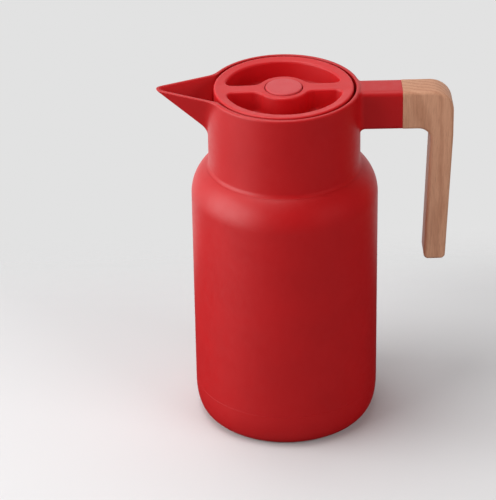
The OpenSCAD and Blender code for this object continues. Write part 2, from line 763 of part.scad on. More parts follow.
// Threaded tube with the valve seat below, pour windows and the lid's deck
module stopper_base() {
    bead_z = stopper_gasket_z - soft_gap;
    color("firebrick")
    rotate(lid_angle)
    difference() {
        union() {
            turned([[guide_r, guide_z], [guide_boss_r, guide_z], [guide_boss_r, deck_under_z],
                    [tube_in_r, deck_under_z], [tube_in_r, tube_z + tube_wall],
                    [nose_in_r, tube_z], [nose_in_r, nose_z + tube_wall],
                    [pour_r, nose_z + tube_wall], [pour_r, nose_z], [nose_r, nose_z],
                    [nose_r, bead_z - 2 * bead], [nose_r + bead, bead_z - bead],
                    [nose_r + bead, bead_z - bead / 2], [nose_r, bead_z], [nose_r, tube_z],
                    [tube_r, tube_z], [tube_r, deck_under_z], [deck_r, deck_under_z],
                    [deck_r, deck_z], [guide_boss_r, deck_z], [guide_boss_r, guide_top_z],
                    [ring_seat_r, guide_top_z], [ring_seat_r, ring_seat_z],
                    [guide_r, ring_seat_z]]);
            thread_rib(tube_r, tube_r + thread_depth, thread_z, stopper_turns);
        }
        for (i = [0:windows - 1])
            rotate(360 * (i + 0.5) / windows)
                translate([tube_in_r - tube_wall - cut, -window_w / 2, window_z])
                    cube([2 * (tube_wall + cut), window_w, window_h]);
        for (side = [-1, 1])
            translate([side * lid_screw_x, 0, deck_under_z - cut])
                cylinder(d = screw_d + 2 * shank_gap, h = deck_t + 2 * cut, $fn = facets);
    }
}

// Plan of the two finger recesses, grown outwards by grow
module recess_plan(grow) {
    offset(r = recess_round + grow, $fn = 32) offset(delta = -recess_round) difference() {
        circle(r = recess_r, $fn = facets);
        circle(r = hub_r, $fn = facets);
        square([4 * lid_r, bar_w], center = true);
    }
}

// Hollow under the lid, around the recesses, the hub and the screw bosses
module cap_hollow() {
    difference() {
        translate([0, 0, deck_z - cut])
            cylinder(r = lid_r - lid_wall, h = lid_h - lid_wall + cut, $fn = facets);
        translate([0, 0, recess_z - lid_wall]) linear_extrude(lid_h) recess_plan(lid_wall);
        cylinder(r = hub_r, h = 2 * lid_z, $fn = facets);
        for (side = [-1, 1])
            translate([side * lid_screw_x, 0, 0])
                cylinder(r = lid_boss_r, h = 2 * lid_z, $fn = facets);
    }
}

module stopper_cap() {
    color("indianred")
    rotate(lid_angle)
    difference() {
        turned(concat([[0, deck_z], [lid_r, deck_z]],
                      arc([lid_r - lid_round, lid_z - lid_round], lid_round, 0, 90), [[0, lid_z]]));
        translate([0, 0, recess_z]) linear_extrude(recess_depth + cut) recess_plan(0);
        cap_hollow();
        translate([0, 0, deck_z - cut])
            cylinder(r = button_bore_r, h = lid_h + 2 * cut, $fn = facets);
        translate([0, 0, deck_z - cut])
            cylinder(r = cage_r, h = button_stop_z - deck_z + cut, $fn = facets);
        for (side = [-1, 1])
            translate([side * lid_screw_x, 0, deck_z - cut])
                cylinder(d = screw_d + 2 * pilot_gap, h = lid_screw_l - deck_t + 2 * cut, $fn = facets);
    }
}

module stopper_screws() {
    color("silver")
    rotate(lid_angle)
    for (side = [-1, 1])
        translate([side * lid_screw_x, 0, deck_under_z]) screw(lid_screw_l);
}

// O-ring that wipes the stem where it passes through the deck
module stem_seal() {
    color("dimgray")
    rotate_extrude($fn = facets)
        translate([ring_seat_r - ring_r - ring_fit, ring_seat_z + ring_r + ring_fit])
            circle(r = ring_r, $fn = 48);
}

// Round button with a skirt, a stop flange and a boss for the stem
module push_button() {
    skirt_in_r = button_r - button_wall;
    socket = stem_r + pilot_gap;
    color("indianred")
    rotate(lid_angle)
    turned(concat(
        [[socket, button_foot_z], [stem_boss_r, button_foot_z],
         [stem_boss_r, button_under_z], [skirt_in_r, button_under_z],
         [skirt_in_r, button_foot_z], [button_skirt_r, button_foot_z],
         [button_skirt_r, button_flange_z], [button_r, button_flange_z]],
        arc([button_r - edge_cut, button_z - edge_cut], edge_cut, 0, 90),
        [[0, button_z], [0, button_under_z], [socket, button_under_z]]));
}

// Rod from the button to the valve plate, with a blind hole for the valve screw
module valve_stem() {
    color("silver")
    difference() {
        translate([0, 0, seal_z]) cylinder(r = stem_r, h = button_under_z - seal_z, $fn = facets);
        translate([0, 0, seal_z - cut])
            cylinder(d = screw_d + 2 * pilot_gap, h = valve_screw_l - plate_t + 2 * cut, $fn = facets);
    }
}

module valve_plate() {
    hole_r = screw_d / 2 + shank_gap;
    color("firebrick")
    turned([[hole_r, plate_z], [valve_r - edge_cut, plate_z], [valve_r, plate_z + edge_cut],
            [valve_r, seal_z], [hole_r, seal_z]]);
}

module valve_seal() {
    inner = pour_r - seat_w;
    top_z = seal_z + seal_t;
    color("dimgray")
    turned([[inner, seal_z], [valve_r, seal_z], [valve_r, top_z - edge_cut],
            [valve_r - edge_cut, top_z], [inner + edge_cut, top_z],
            [inner, top_z - edge_cut]]);
}

module valve_screw() {
    color("silver") translate([0, 0, plate_z]) screw(valve_screw_l);
}

// Compression spring under the button, with its wire swept up a helix
module button_spring() {
    wire_r = wire_d / 2;
    low_z = deck_z + wire_r + fit_gap;
    high_z = button_under_z - wire_r - fit_gap;
    sides = 6;
    per_turn = 16;
    count = spring_turns * per_turn;
    points = [for (i = [0:count])
        let (a = 360 * i / per_turn, z = low_z + (high_z - low_z) * i / count)
        for (k = [0:sides - 1])
            let (r = spring_d / 2 + wire_r * cos(360 * k / sides))
            [r * cos(a), r * sin(a), z + wire_r * sin(360 * k / sides)]];
    faces = [for (i = [0:count - 1], k = [0:sides - 1])
        let (a = sides * i + k, b = sides * i + (k + 1) % sides) [a, b, b + sides, a + sides]];
    first = [for (k = [0:sides - 1]) k];
    last = [for (k = first) sides * count + k];
    color("lightgray") polyhedron(points, concat(faces, [reversed(first), last]), convexity = 8);
}

foot_pad();
base_cover();
flask_cushion();
body_shell();
outer_flask();
inner_flask();
flask_spacers();
flask_gasket();
neck_insert();
collar();
collar_clip();
handle_grip();
grip_screws();
stopper_gasket();
stopper_base();
stopper_cap();
stopper_screws();
stem_seal();
push_button();
valve_stem();
valve_plate();
valve_seal();
valve_screw();
button_spring();
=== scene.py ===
"""Dresses the serving jug: its red mouldings, beech grip, lid and studio."""

import math
from math import cos, hypot, pi, sin, sqrt

import bmesh
import bpy
from bmesh.types import BMEdge, BMVert
from bpy.props import FloatProperty, FloatVectorProperty, IntProperty, PointerProperty
from bpy.types import NodeSocket, Operator, Panel, PropertyGroup
from mathutils import Matrix, Vector


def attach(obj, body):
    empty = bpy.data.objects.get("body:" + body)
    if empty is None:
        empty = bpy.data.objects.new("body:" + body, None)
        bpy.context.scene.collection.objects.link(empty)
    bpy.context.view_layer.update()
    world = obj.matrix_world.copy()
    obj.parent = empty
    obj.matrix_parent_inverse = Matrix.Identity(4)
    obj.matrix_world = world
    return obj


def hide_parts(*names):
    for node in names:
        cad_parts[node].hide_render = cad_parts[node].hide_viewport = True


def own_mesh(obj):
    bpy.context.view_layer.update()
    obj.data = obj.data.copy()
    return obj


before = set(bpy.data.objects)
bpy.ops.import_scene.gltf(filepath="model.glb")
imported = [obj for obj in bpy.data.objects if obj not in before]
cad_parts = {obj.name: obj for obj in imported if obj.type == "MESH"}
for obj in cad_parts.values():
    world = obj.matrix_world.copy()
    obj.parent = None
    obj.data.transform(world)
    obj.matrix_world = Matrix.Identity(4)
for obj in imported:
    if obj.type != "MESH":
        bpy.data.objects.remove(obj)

bl_info = {
    "name": "Serving jug",
    "version": (1, 0, 0),
    "blender": (4, 5, 0),
    "location": "3D View > Sidebar > Jug",
    "description": "Builds the visible pieces of an insulated serving jug around its packed frame",
    "category": "Add Mesh",
}

MM = 0.001  # one millimetre in metres
WELD = 1e-6  # vertices closer than this are one vertex
CREASE = math.radians(34)  # edges that turn more than this shade as sharp
RIGHT = pi / 2  # a right angle
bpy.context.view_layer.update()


# -------------------- settings

def length(name, description, millimetres):
    """A size that a user may change, given here in millimetres."""
    return FloatProperty(
        name=name, description=description, default=millimetres * MM, unit="LENGTH", precision=5
    )


def degrees(name, description, value):
    """An angle that a user may change, given here in degrees."""
    return FloatProperty(
        name=name, description=description, default=math.radians(value), subtype="ANGLE"
    )


def number(name, description, value):
    """A plain number that a user may change."""
    return FloatProperty(name=name, description=description, default=value)


def count(name, description, value):
    """A whole number that a user may change."""
    return IntProperty(name=name, description=description, default=value)


def colour(name, description, rgb):
    """A finish's colour that a user may change, in linear red, green and blue."""
    return FloatVectorProperty(
        name=name, description=description, default=rgb, size=3, min=0, max=1, subtype="COLOR"
    )


def share(name, description, value):
    """A factor from 0 to 1 that a user may change."""
    return FloatProperty(
        name=name, description=description, default=value, min=0, max=1, subtype="FACTOR"
    )


class JugBodySizes(PropertyGroup):
    """Sizes of the base cover and the body shell."""

    radius: length("Body radius", "Outside radius of the body", 62.5)
    wall: length("Wall", "Thickness of shell and base", 2.4)
    seam_z: length("Base seam", "Height of the seam between base and shell", 25.5)
    seam_edge: length("Seam edge", "Size of the broken edge on each side of a seam", 0.1)
    shoulder_z: length("Shoulder", "Height where the shoulder starts", 166.7)
    shoulder_r: length("Shoulder curve", "Radius of the shoulder's curve", 26.65)
    land_z: length("Land", "Height of the flat land inside the shell's top edge", 181.98)
    foot_radius: length("Foot radius", "Radius of the flat underside", 51.0)
    foot_lift: length("Foot lift", "Height of the base's rim above the table", 0.5)
    pad_radius: length("Pad recess", "Radius of the recess for the foot pad", 48.15)
    pad_depth: length("Pad thickness", "Height of the recess for the foot pad", 1.5)
    spigot_h: length("Spigot height", "Height of the ring inside the shell", 8.0)
    spigot_gap: length("Spigot gap", "Clearance between that ring and the shell", 0.15)
    cup_power: number("Cup power", "Power of the curve from underside to seam", 2.7)
    steps: count("Turn steps", "Faces round the body", 192)


class JugCollarSizes(PropertyGroup):
    """Sizes of the neck, the spout and the handle's bridge."""

    radius: length("Neck radius", "Outside radius of the neck", 50.6)
    bore: length("Neck bore", "Inside radius of the neck", 47.8)
    low_z: length("Skirt", "Height of the neck's hidden lower edge", 178.0)
    foot_fillet: length("Foot fillet", "Radius of the hollow curve onto the shoulder", 4.0)
    rim_z: length("Rim", "Height of the neck's rim", 244.2)
    rim_round: length("Rim rounding", "Outer rounding of the rim", 1.4)
    spout_reach: length("Spout reach", "Distance from the axis to the spout's tip", 84.7)
    spout_rise: length("Spout rise", "Height of the tip above the rim", 0.9)
    spout_depth: length("Spout depth", "Depth of the keel's foot below the rim", 30.1)
    tip_radius: length("Tip radius", "Radius of the tip, seen from above", 4.8)
    keel_radius: length("Keel radius", "Radius of the keel at its foot", 2.8)
    spout_wall: length("Spout wall", "Thickness of the spout's wall", 2.0)
    spout_blend: length("Spout blend", "Width of the soft blend between spout and neck", 4.5)
    spout_half_angle: degrees("Spout half angle", "Angle of its sides to the middle plane", 25.9)
    bridge_top: length("Bridge top", "Height of the bridge's top", 243.4)
    bridge_under: length("Bridge underside", "Height of the bridge's underside", 215.8)
    bridge_width: length("Bridge width", "Thickness of bridge and grip", 21.4)
    bridge_round: length("Bridge rounding", "Rounding of the bridge's long edges", 3.3)
    bridge_fillet: length("Bridge fillet", "Hollow curve between bridge and neck", 3.4)
    rim_fillet: length("Rim fillet", "The same curve where it meets the rim", 0.5)
    joint_x: length("Joint", "Distance from the axis to the joint with the grip", 77.8)
    joint_edge: length("Joint edge", "Size of the broken edges at that joint", 0.2)
    steps: count("Turn steps", "Columns round the neck", 240)
    row: length("Row height", "Height of the rows that carry the spout", 1.2)


class JugGripSizes(PropertyGroup):
    """Sizes of the beech grip."""

    back_x: length("Back", "Distance from the axis to the grip's back", 111.6)
    width: length("Width", "Width of the grip below its upper arm", 15.0)
    end_width: length("End width", "Width of the grip at its lower end", 14.5)
    lean: length("Lean", "How far the lower end leans towards the body", 3.8)
    end_z: length("End", "Height of the grip's lower end", 117.0)
    bend_z: length("Bend", "Height where the back starts to lean", 209.8)
    outer_corner: length("Outer corner", "Radius of the upper outer corner", 15.0)
    inner_corner: length("Inner corner", "Radius of the inner corner", 8.0)
    end_corner: length("End corner", "Radius of the two lower corners", 3.2)
    edge_round: length("Edge rounding", "Rounding of all long edges", 2.6)
    screw_x: length("First screw", "Distance from the axis to the first screw", 82.2)
    screw_pitch: length("Screw pitch", "Distance between the two screws", 6.8)
    screw_bore: length("Screw bore", "Radius of the bores for the screw heads", 3.0)
    bore_depth: length("Bore depth", "Depth of those bores", 2.3)


class JugLidSizes(PropertyGroup):
    """Sizes of the lid and its push button."""

    radius: length("Lid radius", "Outside radius of the lid", 46.2)
    top_z: length("Lid top", "Height of the lid's top", 244.7)
    deck_z: length("Deck", "Height of the lid's lower edge", 227.0)
    dish: length("Dish", "How far the lid's middle lies below its outer edge", 0.9)
    edge_round: length("Lid edge", "Rounding of the lid's outer edge", 1.5)
    wall: length("Lid wall", "Thickness of the lid", 1.2)
    recess_radius: length("Recess radius", "Radius that the finger recesses reach to", 39.0)
    recess_depth: length("Recess depth", "Depth of the finger recesses", 14.5)
    recess_corner: length("Recess corner", "Radius of the recesses' corners", 4.5)
    recess_lip: length("Recess lip", "Rounding of the recesses' upper edge", 1.5)
    recess_foot: length("Recess foot", "Hollow curve at the recesses' floor", 3.0)
    hub_radius: length("Hub radius", "Radius of the hub round the button", 17.0)
    hub_fillet: length("Hub fillet", "Hollow curve between the hub and the bar", 8.0)
    bar_width: length("Bar width", "Width of the bar between the recesses", 10.8)
    bore: length("Button bore", "Radius of the bore that the button runs in", 12.6)
    bore_z: length("Bore foot", "Height of the bore's lower end", 237.0)
    button_radius: length("Button radius", "Radius of the button", 12.1)
    button_z: length("Button top", "Height of the button's top", 244.6)
    button_foot_z: length("Button foot", "Height of the button's lower edge", 234.1)
    button_edge: length("Button edge", "Rounding of the button's edge", 0.9)
    skirt_radius: length("Button stop", "Radius of the stop under the button", 14.0)
    skirt_z: length("Stop height", "Height of that stop's upper face", 235.8)
    angle: degrees("Lid angle", "Angle of the closed lid about the jug's axis", 1.5)
    steps: count("Turn steps", "Faces round the lid", 160)


class JugFinish(PropertyGroup):
    """Colours and surface of the finishes."""

    body_red: colour("Body red", "Satin plastic of body and collar", (0.500, 0.0042, 0.0062))
    # The lid's red is a lighter copy of the body's red: painted light standing in for the extra
    # light on the lid's top.
    lid_red: colour("Lid red", "Satin plastic of the lid", (0.600, 0.0065, 0.0095))
    inner_red: colour("Inner red", "Plain plastic of the hidden parts", (0.36, 0.004, 0.006))
    beech_light: colour("Light beech", "Early wood of the grip", (0.640, 0.330, 0.205))
    beech_dark: colour("Dark beech", "Late wood of the grip", (0.480, 0.218, 0.126))
    beech_fleck: colour("Beech flecks", "Rays and pores of the grip", (0.240, 0.110, 0.062))
    grey_silicone: colour("Grey silicone", "Foot pad and outer gaskets", (0.075, 0.075, 0.08))
    white_silicone: colour("White silicone", "Seals that touch the drink", (0.64, 0.62, 0.57))
    silver: colour("Silvering", "Silvered side of the glass", (0.80, 0.81, 0.83))
    felt: colour("Felt", "Spacers between the glass walls", (0.34, 0.26, 0.16))
    steel: colour("Steel", "Screws, stem, clip and spring", (0.56, 0.56, 0.58))
    # The button's paler red is painted sheen: a highlight laid into its colour.
    button_red: colour("Button red", "Paler plastic of the button", (0.600, 0.045, 0.052))
    satin: share("Satin", "Roughness of the red plastic", 0.46)
    gloss: share("Gloss", "Specular level of the red plastic", 0.50)


class JugStudio(PropertyGroup):
    """Camera, lamps and backdrop."""

    camera_distance: length("Distance", "Camera's distance from its target", 1839.6)
    camera_target: FloatVectorProperty(
        name="Target", description="Point that the camera looks at", size=3, subtype="XYZ",
        default=(-0.02524, 0.0, 0.12142), unit="LENGTH",
    )
    camera_azimuth: degrees("Azimuth", "Camera's angle round the jug", -0.6336)
    camera_elevation: degrees("Elevation", "Camera's angle above the table", 29.676)
    camera_roll: degrees("Roll", "Camera's tilt about its own view", -0.9559)
    lens: number("Lens", "Focal length in millimetres", 195.05)
    key: number("Key light", "Power of the left soft box", 18.0)
    top: number("Top light", "Power of the overhead soft box", 10.0)
    fill: number("Fill light", "Power of the soft box at the front right", 7.5)
    sky: number("Sky", "Strength of the even room light", 0.12)
    floor_tone: colour("Floor", "Colour of the table", (0.79, 0.79, 0.795))
    backdrop: colour("Backdrop", "Colour of the backdrop", (0.760, 0.760, 0.760))


# -------------------- mesh helpers

def weld(bm):
    """Merges vertices that lie on each other."""
    bmesh.ops.remove_doubles(bm, verts=bm.verts, dist=WELD)


def face_outwards(bm):
    """Turns every face's normal to the outside."""
    bmesh.ops.recalc_face_normals(bm, faces=bm.faces)


class Pen:
    """Draws a wire in the XZ plane, and keeps its last vertex as the tip."""

    def __init__(self, bm, x, z):
        self.bm = bm
        self.start = self.tip = bm.verts.new((x, 0, z))

    def line(self, *points):
        """Straight edges to each (x, z) in turn."""
        for x, z in points:
            made = bmesh.ops.extrude_vert_indiv(self.bm, verts=[self.tip])
            self.tip = made["verts"][0]
            self.tip.co = (x, 0, z)

    def arc(self, x, z, angle, steps):
        """Turns the tip about (x, z), anticlockwise with X to the right and Z up."""
        made = bmesh.ops.spin(
            self.bm, geom=[self.tip], cent=(x, 0, z), axis=(0, -1, 0), angle=angle, steps=steps
        )
        self.tip = next(part for part in made["geom_last"] if isinstance(part, BMVert))

    def close(self):
        """A last edge back to the first vertex."""
        self.bm.edges.new((self.tip, self.start))


def turn(bm, steps):
    """Spins all of bm's wire once round the jug's axis."""
    bmesh.ops.spin(
        bm, geom=bm.verts[:] + bm.edges[:], cent=(0, 0, 0), axis=(0, 0, 1),
        angle=math.tau, steps=steps, use_merge=True,
    )
    weld(bm)
    face_outwards(bm)


def open_edges(bm):
    """Edges with a face on one side only."""
    return [edge for edge in bm.edges if edge.is_boundary]


def push_out(bm, edges, place):
    """Extrudes a loop of edges, puts each new vertex where place says, and returns the new loop."""
    made = bmesh.ops.extrude_edge_only(bm, edges=edges)["geom"]
    for vert in (part for part in made if isinstance(part, BMVert)):
        vert.co = place(vert.co)
    return [part for part in made if isinstance(part, BMEdge) and part.is_boundary]


def bevel(bm, geom, offset, affect, steps):
    """Rounds edges or corners by offset, or breaks them where steps is 1."""
    bmesh.ops.bevel(
        bm, geom=geom, offset=offset, offset_type="OFFSET", affect=affect,
        segments=steps, profile=0.5, material=-1,
    )


def ease(value):
    """A value limited to the range from 0 to 1."""
    return max(0.0, min(1.0, value))


def soft_max(a, b, width):
    """The larger of two sizes, with a rounded change-over of that width."""
    overlap = max(width - abs(a - b), 0.0) / width
    return max(a, b) + overlap * overlap * width / 4


def quarter(steps):
    """Angles from 0 to a right angle in even steps."""
    return [RIGHT * i / steps for i in range(steps + 1)]


def new_object(name, data):
    """An object of that name in the scene."""
    made = bpy.data.objects.new(name, data)
    bpy.context.scene.collection.objects.link(made)
    return made


def new_mesh(bm, name):
    """A mesh of that name from bm, which is freed."""
    mesh = bpy.data.meshes.new(name)
    bm.to_mesh(mesh)
    bm.free()
    return mesh


def add_piece(bm, name, body, finish):
    """Makes bm an object of the jug that rides on its body and stands for the node of its name."""
    weld(bm)
    for face in bm.faces:
        face.smooth = True
    for edge in bm.edges:
        edge.smooth = not edge.is_manifold or edge.calc_face_angle() < CREASE
    mesh = new_mesh(bm, name)
    mesh.materials.append(finished(finish))
    piece = new_object("visible_" + name, mesh)
    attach(piece, body)
    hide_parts(name)
    return piece


# -------------------- shader helpers

def fill_in(tree, made, inputs):
    """Sets a node's inputs to plain values, or links them from other sockets."""
    for name, value in inputs.items():
        if isinstance(value, NodeSocket):
            tree.links.new(value, made.inputs[name])
        else:
            made.inputs[name].default_value = value


def node(tree, kind, inputs=None, **settings):
    """A shader node with those inputs and settings."""
    made = tree.nodes.new("ShaderNode" + kind)
    for name, value in settings.items():
        setattr(made, name, value)
    fill_in(tree, made, inputs or {})
    return made


def maths(tree, operation, a, b=0.0, c=0.0):
    """Result of one sum of up to three numbers or sockets."""
    return node(tree, "Math", {0: a, 1: b, 2: c}, operation=operation).outputs[0]


def blend_colours(tree, factor, a, b, mode="MIX"):
    """Colour b laid over colour a by factor."""
    made = node(tree, "Mix", {0: factor, 6: a, 7: b}, data_type="RGBA", blend_type=mode)
    return made.outputs[2]


def object_place(tree):
    """Coordinates that stay with the piece."""
    return node(tree, "TexCoord").outputs["Object"]


def noise(tree, scale, detail, roughness, distortion=0.0):
    """Noise from 0 to 1; scale is in cells per metre, for all axes or for each."""
    vector = object_place(tree)
    if isinstance(scale, tuple):
        vector = node(tree, "Mapping", {"Vector": vector, "Scale": scale}).outputs[0]
        scale = 1.0
    made = node(
        tree, "TexNoise",
        {"Vector": vector, "Scale": scale, "Detail": detail, "Roughness": roughness,
         "Distortion": distortion},
    )
    return made.outputs[0]


def limits(tree, value, low, high, new_low=0.0, new_high=1.0):
    """Value moved from the range low to high to a new range, and kept inside it."""
    made = node(
        tree, "MapRange",
        {"Value": value, "From Min": low, "From Max": high, "To Min": new_low, "To Max": new_high},
    )
    return made.outputs[0]


def rgba(rgb, gain=1.0):
    """A colour with its alpha, made lighter or darker by gain."""
    return (*(part * gain for part in rgb), 1.0)


def fill_grain(tree, given):
    """Fine eroded grain of a steel mould, with slow changes of tone and gloss."""
    cells = maths(tree, "DIVIDE", 1.0, given["Grain Size"])
    fine = noise(tree, cells, 2.0, 0.6)
    coarse = noise(tree, maths(tree, "MULTIPLY", cells, 0.27), 1.0, 0.5)
    slow = noise(tree, 38.0, 3.0, 0.55)
    patch = noise(tree, 210.0, 3.0, 0.6)
    tone = maths(
        tree, "ADD", limits(tree, slow, 0.3, 0.7, 0.965, 1.03),
        limits(tree, fine, 0.3, 0.7, -0.02, 0.02),
    )
    shade = node(tree, "CombineColor", {0: tone, 1: tone, 2: tone}).outputs[0]
    rough = maths(tree, "ADD", given["Roughness"], limits(tree, patch, 0.3, 0.7, -0.035, 0.045))
    return {
        "Color": blend_colours(tree, 1.0, given["Color"], shade, "MULTIPLY"),
        "Roughness": rough,
        "Height": maths(tree, "ADD", fine, coarse),
    }


def fill_dust(tree, given):
    """Sparse pale specks and lint that settle on a surface."""
    cells = {"Vector": object_place(tree), "Scale": given["Density"], "Randomness": 1.0}
    specks = node(tree, "TexVoronoi", cells, feature="F1").outputs["Distance"]
    spots = limits(tree, specks, 0.05, 0.10, 1.0, 0.0)
    where = limits(tree, noise(tree, 55.0, 2.0, 0.5), 0.52, 0.62)
    mask = maths(tree, "MULTIPLY", maths(tree, "MULTIPLY", spots, where), given["Amount"])
    return {"Color": blend_colours(tree, mask, given["Color"], rgba((0.62, 0.58, 0.54)))}


def fill_streaks(tree, given):
    """Faint streaks and seeds of blown glass over its silvering."""
    streaks = noise(tree, (90.0, 90.0, 14.0), 4.0, 0.6)
    cloudy = limits(tree, streaks, 0.35, 0.75)
    return {
        "Color": blend_colours(tree, cloudy, given["Color"], given["Cloudy Color"]),
        "Roughness": limits(tree, streaks, 0.3, 0.7, 0.05, 0.16),
        "Height": noise(tree, 1400.0, 1.0, 0.5),
    }


# Inputs, outputs and filling of each node group
GROUPS = {
    "moulded_grain": (
        ("Color", "Roughness", "Grain Size"), ("Color", "Roughness", "Height"), fill_grain,
    ),
    "settled_dust": (("Color", "Density", "Amount"), ("Color",), fill_dust),
    "glass_streaks": (("Color", "Cloudy Color"), ("Color", "Roughness", "Height"), fill_streaks),
}


def new_group(name):
    """Makes the node group of that name with its sockets, and fills it."""
    inputs, outputs, fill = GROUPS[name]
    tree = bpy.data.node_groups.new(name, "ShaderNodeTree")
    for way, labels in (("INPUT", inputs), ("OUTPUT", outputs)):
        for label in labels:
            kind = "NodeSocketColor" if label.endswith("Color") else "NodeSocketFloat"
            tree.interface.new_socket(label, in_out=way, socket_type=kind)
    results = fill(tree, tree.nodes.new("NodeGroupInput").outputs)
    sink = tree.nodes.new("NodeGroupOutput")
    for label, socket in results.items():
        tree.links.new(socket, sink.inputs[label])
    return tree


def use_group(tree, name, inputs):
    """Outputs of the node group of that name, placed in a material with its own values."""
    made = bpy.data.node_groups.get(name) or new_group(name)
    return node(tree, "Group", inputs, node_tree=made).outputs


def new_material(name, fill, *values):
    """A material of that name, filled by fill(tree, shader, *values)."""
    made = bpy.data.materials.new(name)
    made.use_nodes = True
    fill(made.node_tree, made.node_tree.nodes["Principled BSDF"], *values)
    return made


def feed(tree, shader, height, distance, strength, **inputs):
    """Fills in the shader's inputs by their names, and leads a height through a Bump node."""
    bump = node(tree, "Bump", {"Height": height, "Distance": distance, "Strength": strength})
    inputs["Normal"] = bump.outputs[0]
    fill_in(tree, shader, {name.replace("_", " "): value for name, value in inputs.items()})


def sight(tree):
    """Whether camera or glass looks straight at something, and whether gloss mirrors it."""
    path = node(tree, "LightPath").outputs
    straight = maths(tree, "MAXIMUM", path["Is Camera Ray"], path["Is Transmission Ray"])
    return straight, path["Is Glossy Ray"]


# -------------------- finishes

def grained(tree, shader, grain, dust, height, strength, **inputs):
    """Feeds the shader a moulded surface with a little dust on it."""
    grain = use_group(tree, "moulded_grain", grain)
    dusty = use_group(tree, "settled_dust", {"Color": grain["Color"], **dust})
    feed(tree, shader, grain["Height"], height, strength,
         Base_Color=dusty["Color"], Roughness=grain["Roughness"], **inputs)


def plastic(tree, shader, finish, red, grain_size, dust):
    """Satin moulded plastic in one of the reds, with an eroded grain and a trace of dust."""
    grain = {
        "Color": rgba(getattr(finish, red)), "Roughness": finish.satin, "Grain Size": grain_size,
    }
    grained(tree, shader, grain, {"Density": 900.0, "Amount": dust}, 0.012 * MM, 0.6,
            Specular_IOR_Level=finish.gloss, IOR=1.5)


def beech(tree, shader, finish):
    """Oiled beech: growth rings across Y and a little X, fibres and dark flecks along Z."""
    drift = noise(tree, (26.0, 30.0, 7.0), 3.0, 0.5)  # makes the rings wander
    place = node(tree, "SeparateXYZ", {0: object_place(tree)}).outputs
    across = maths(tree, "MULTIPLY_ADD", place[0], 0.3, place[1])
    drifted = maths(tree, "MULTIPLY", drift, 22.0)
    # 1500 radians per metre put a ring every 4.2 mm
    rings = maths(tree, "SINE", maths(tree, "MULTIPLY_ADD", across, 1500.0, drifted))
    fibres = noise(tree, (1150.0, 1150.0, 55.0), 4.0, 0.62, 1.2)
    flecks = noise(tree, (1500.0, 1500.0, 120.0), 2.0, 0.55)
    pores = noise(tree, (5200.0, 5200.0, 200.0), 1.0, 0.5)
    cloud = noise(tree, (60.0, 60.0, 22.0), 2.0, 0.5)
    late = maths(
        tree, "ADD", limits(tree, rings, -0.2, 1.0, 0.0, 0.55),
        maths(tree, "ADD", limits(tree, fibres, 0.35, 0.65, -0.25, 0.45),
              limits(tree, cloud, 0.3, 0.7, -0.1, 0.15)),
    )
    wood = blend_colours(tree, late, rgba(finish.beech_light), rgba(finish.beech_dark))
    dash = maths(
        tree, "ADD", limits(tree, flecks, 0.57, 0.72, 0.0, 0.30),
        limits(tree, pores, 0.62, 0.72, 0.0, 0.16),
    )
    marked = blend_colours(tree, dash, wood, rgba(finish.beech_fleck))
    height = maths(tree, "SUBTRACT", maths(tree, "MULTIPLY", fibres, 0.6), dash)
    feed(tree, shader, height, 0.05 * MM, 0.5, Specular_IOR_Level=0.28, IOR=1.47,
         Base_Color=marked, Roughness=limits(tree, late, 0.0, 1.0, 0.50, 0.62))


def silicone(tree, shader, finish, name, roughness):
    """Soft moulded silicone that holds a little dust."""
    grain = {
        "Color": rgba(getattr(finish, name)), "Roughness": roughness, "Grain Size": 0.7 * MM,
    }
    grained(tree, shader, grain, {"Density": 700.0, "Amount": 0.35}, 0.02 * MM, 0.7,
            Specular_IOR_Level=0.35, Subsurface_Weight=0.06, Subsurface_Scale=1.5 * MM)


def silvered_glass(tree, shader, finish, tint):
    """Silvering seen through blown glass, with faint streaks and seeds."""
    cloudy = [a * b for a, b in zip(finish.silver, tint)]
    streaks = use_group(
        tree, "glass_streaks", {"Color": rgba(finish.silver), "Cloudy Color": rgba(cloudy)}
    )
    feed(tree, shader, streaks["Height"], 0.01 * MM, 0.25,
         Metallic=1.0, Coat_Weight=1.0, Coat_Roughness=0.03,
         Base_Color=streaks["Color"], Roughness=streaks["Roughness"])


def felt(tree, shader, finish):
    """Pressed fibre of the spacers."""
    one_way = noise(tree, (5200.0, 900.0, 3000.0), 4.0, 0.7)
    other_way = noise(tree, (900.0, 5200.0, 3400.0), 4.0, 0.7)
    fibres = maths(tree, "MAXIMUM", one_way, other_way)
    shade = blend_colours(
        tree, limits(tree, fibres, 0.45, 0.75), rgba(finish.felt, 0.6), rgba(finish.felt, 1.35)
    )
    feed(tree, shader, fibres, 0.12 * MM, 1.0, Specular_IOR_Level=0.1, Sheen_Weight=0.4,
         Base_Color=shade, Roughness=limits(tree, fibres, 0.3, 0.7, 0.85, 1.0))


def steel(tree, shader, finish):
    """Drawn and turned stainless steel with fine tool marks."""
    marks = noise(tree, (700.0, 700.0, 9000.0), 3.0, 0.7)
    stain = noise(tree, 160.0, 2.0, 0.5)
    tone = blend_colours(
        tree, limits(tree, stain, 0.35, 0.7), rgba(finish.steel), rgba(finish.steel, 0.8)
    )
    feed(tree, shader, marks, 0.01 * MM, 0.5, Metallic=1.0,
         Base_Color=tone, Roughness=limits(tree, marks, 0.3, 0.7, 0.22, 0.38))


# What fills each material, and the values that it takes after the settings
FINISHES = {
    "body_red_plastic": (plastic, "body_red", 0.45 * MM, 0.05),
    # The lid's lighter red is painted light for its brightly lit top.
    "lid_red_plastic": (plastic, "lid_red", 0.38 * MM, 0.06),
    # The button's paler red is painted sheen.
    "button_red_plastic": (plastic, "button_red", 0.38 * MM, 0.06),
    "inner_red_plastic": (plastic, "inner_red", 0.30 * MM, 0.02),
    "grey_silicone": (silicone, "grey_silicone", 0.62),
    "white_silicone": (silicone, "white_silicone", 0.48),
    "silvered_glass": (silvered_glass, (0.93, 0.95, 1.0)),
    "silvered_inner_glass": (silvered_glass, (1.0, 0.97, 0.92)),
    "oiled_beech": (beech,),
    "pressed_felt": (felt,),
    "stainless_steel": (steel,),
}
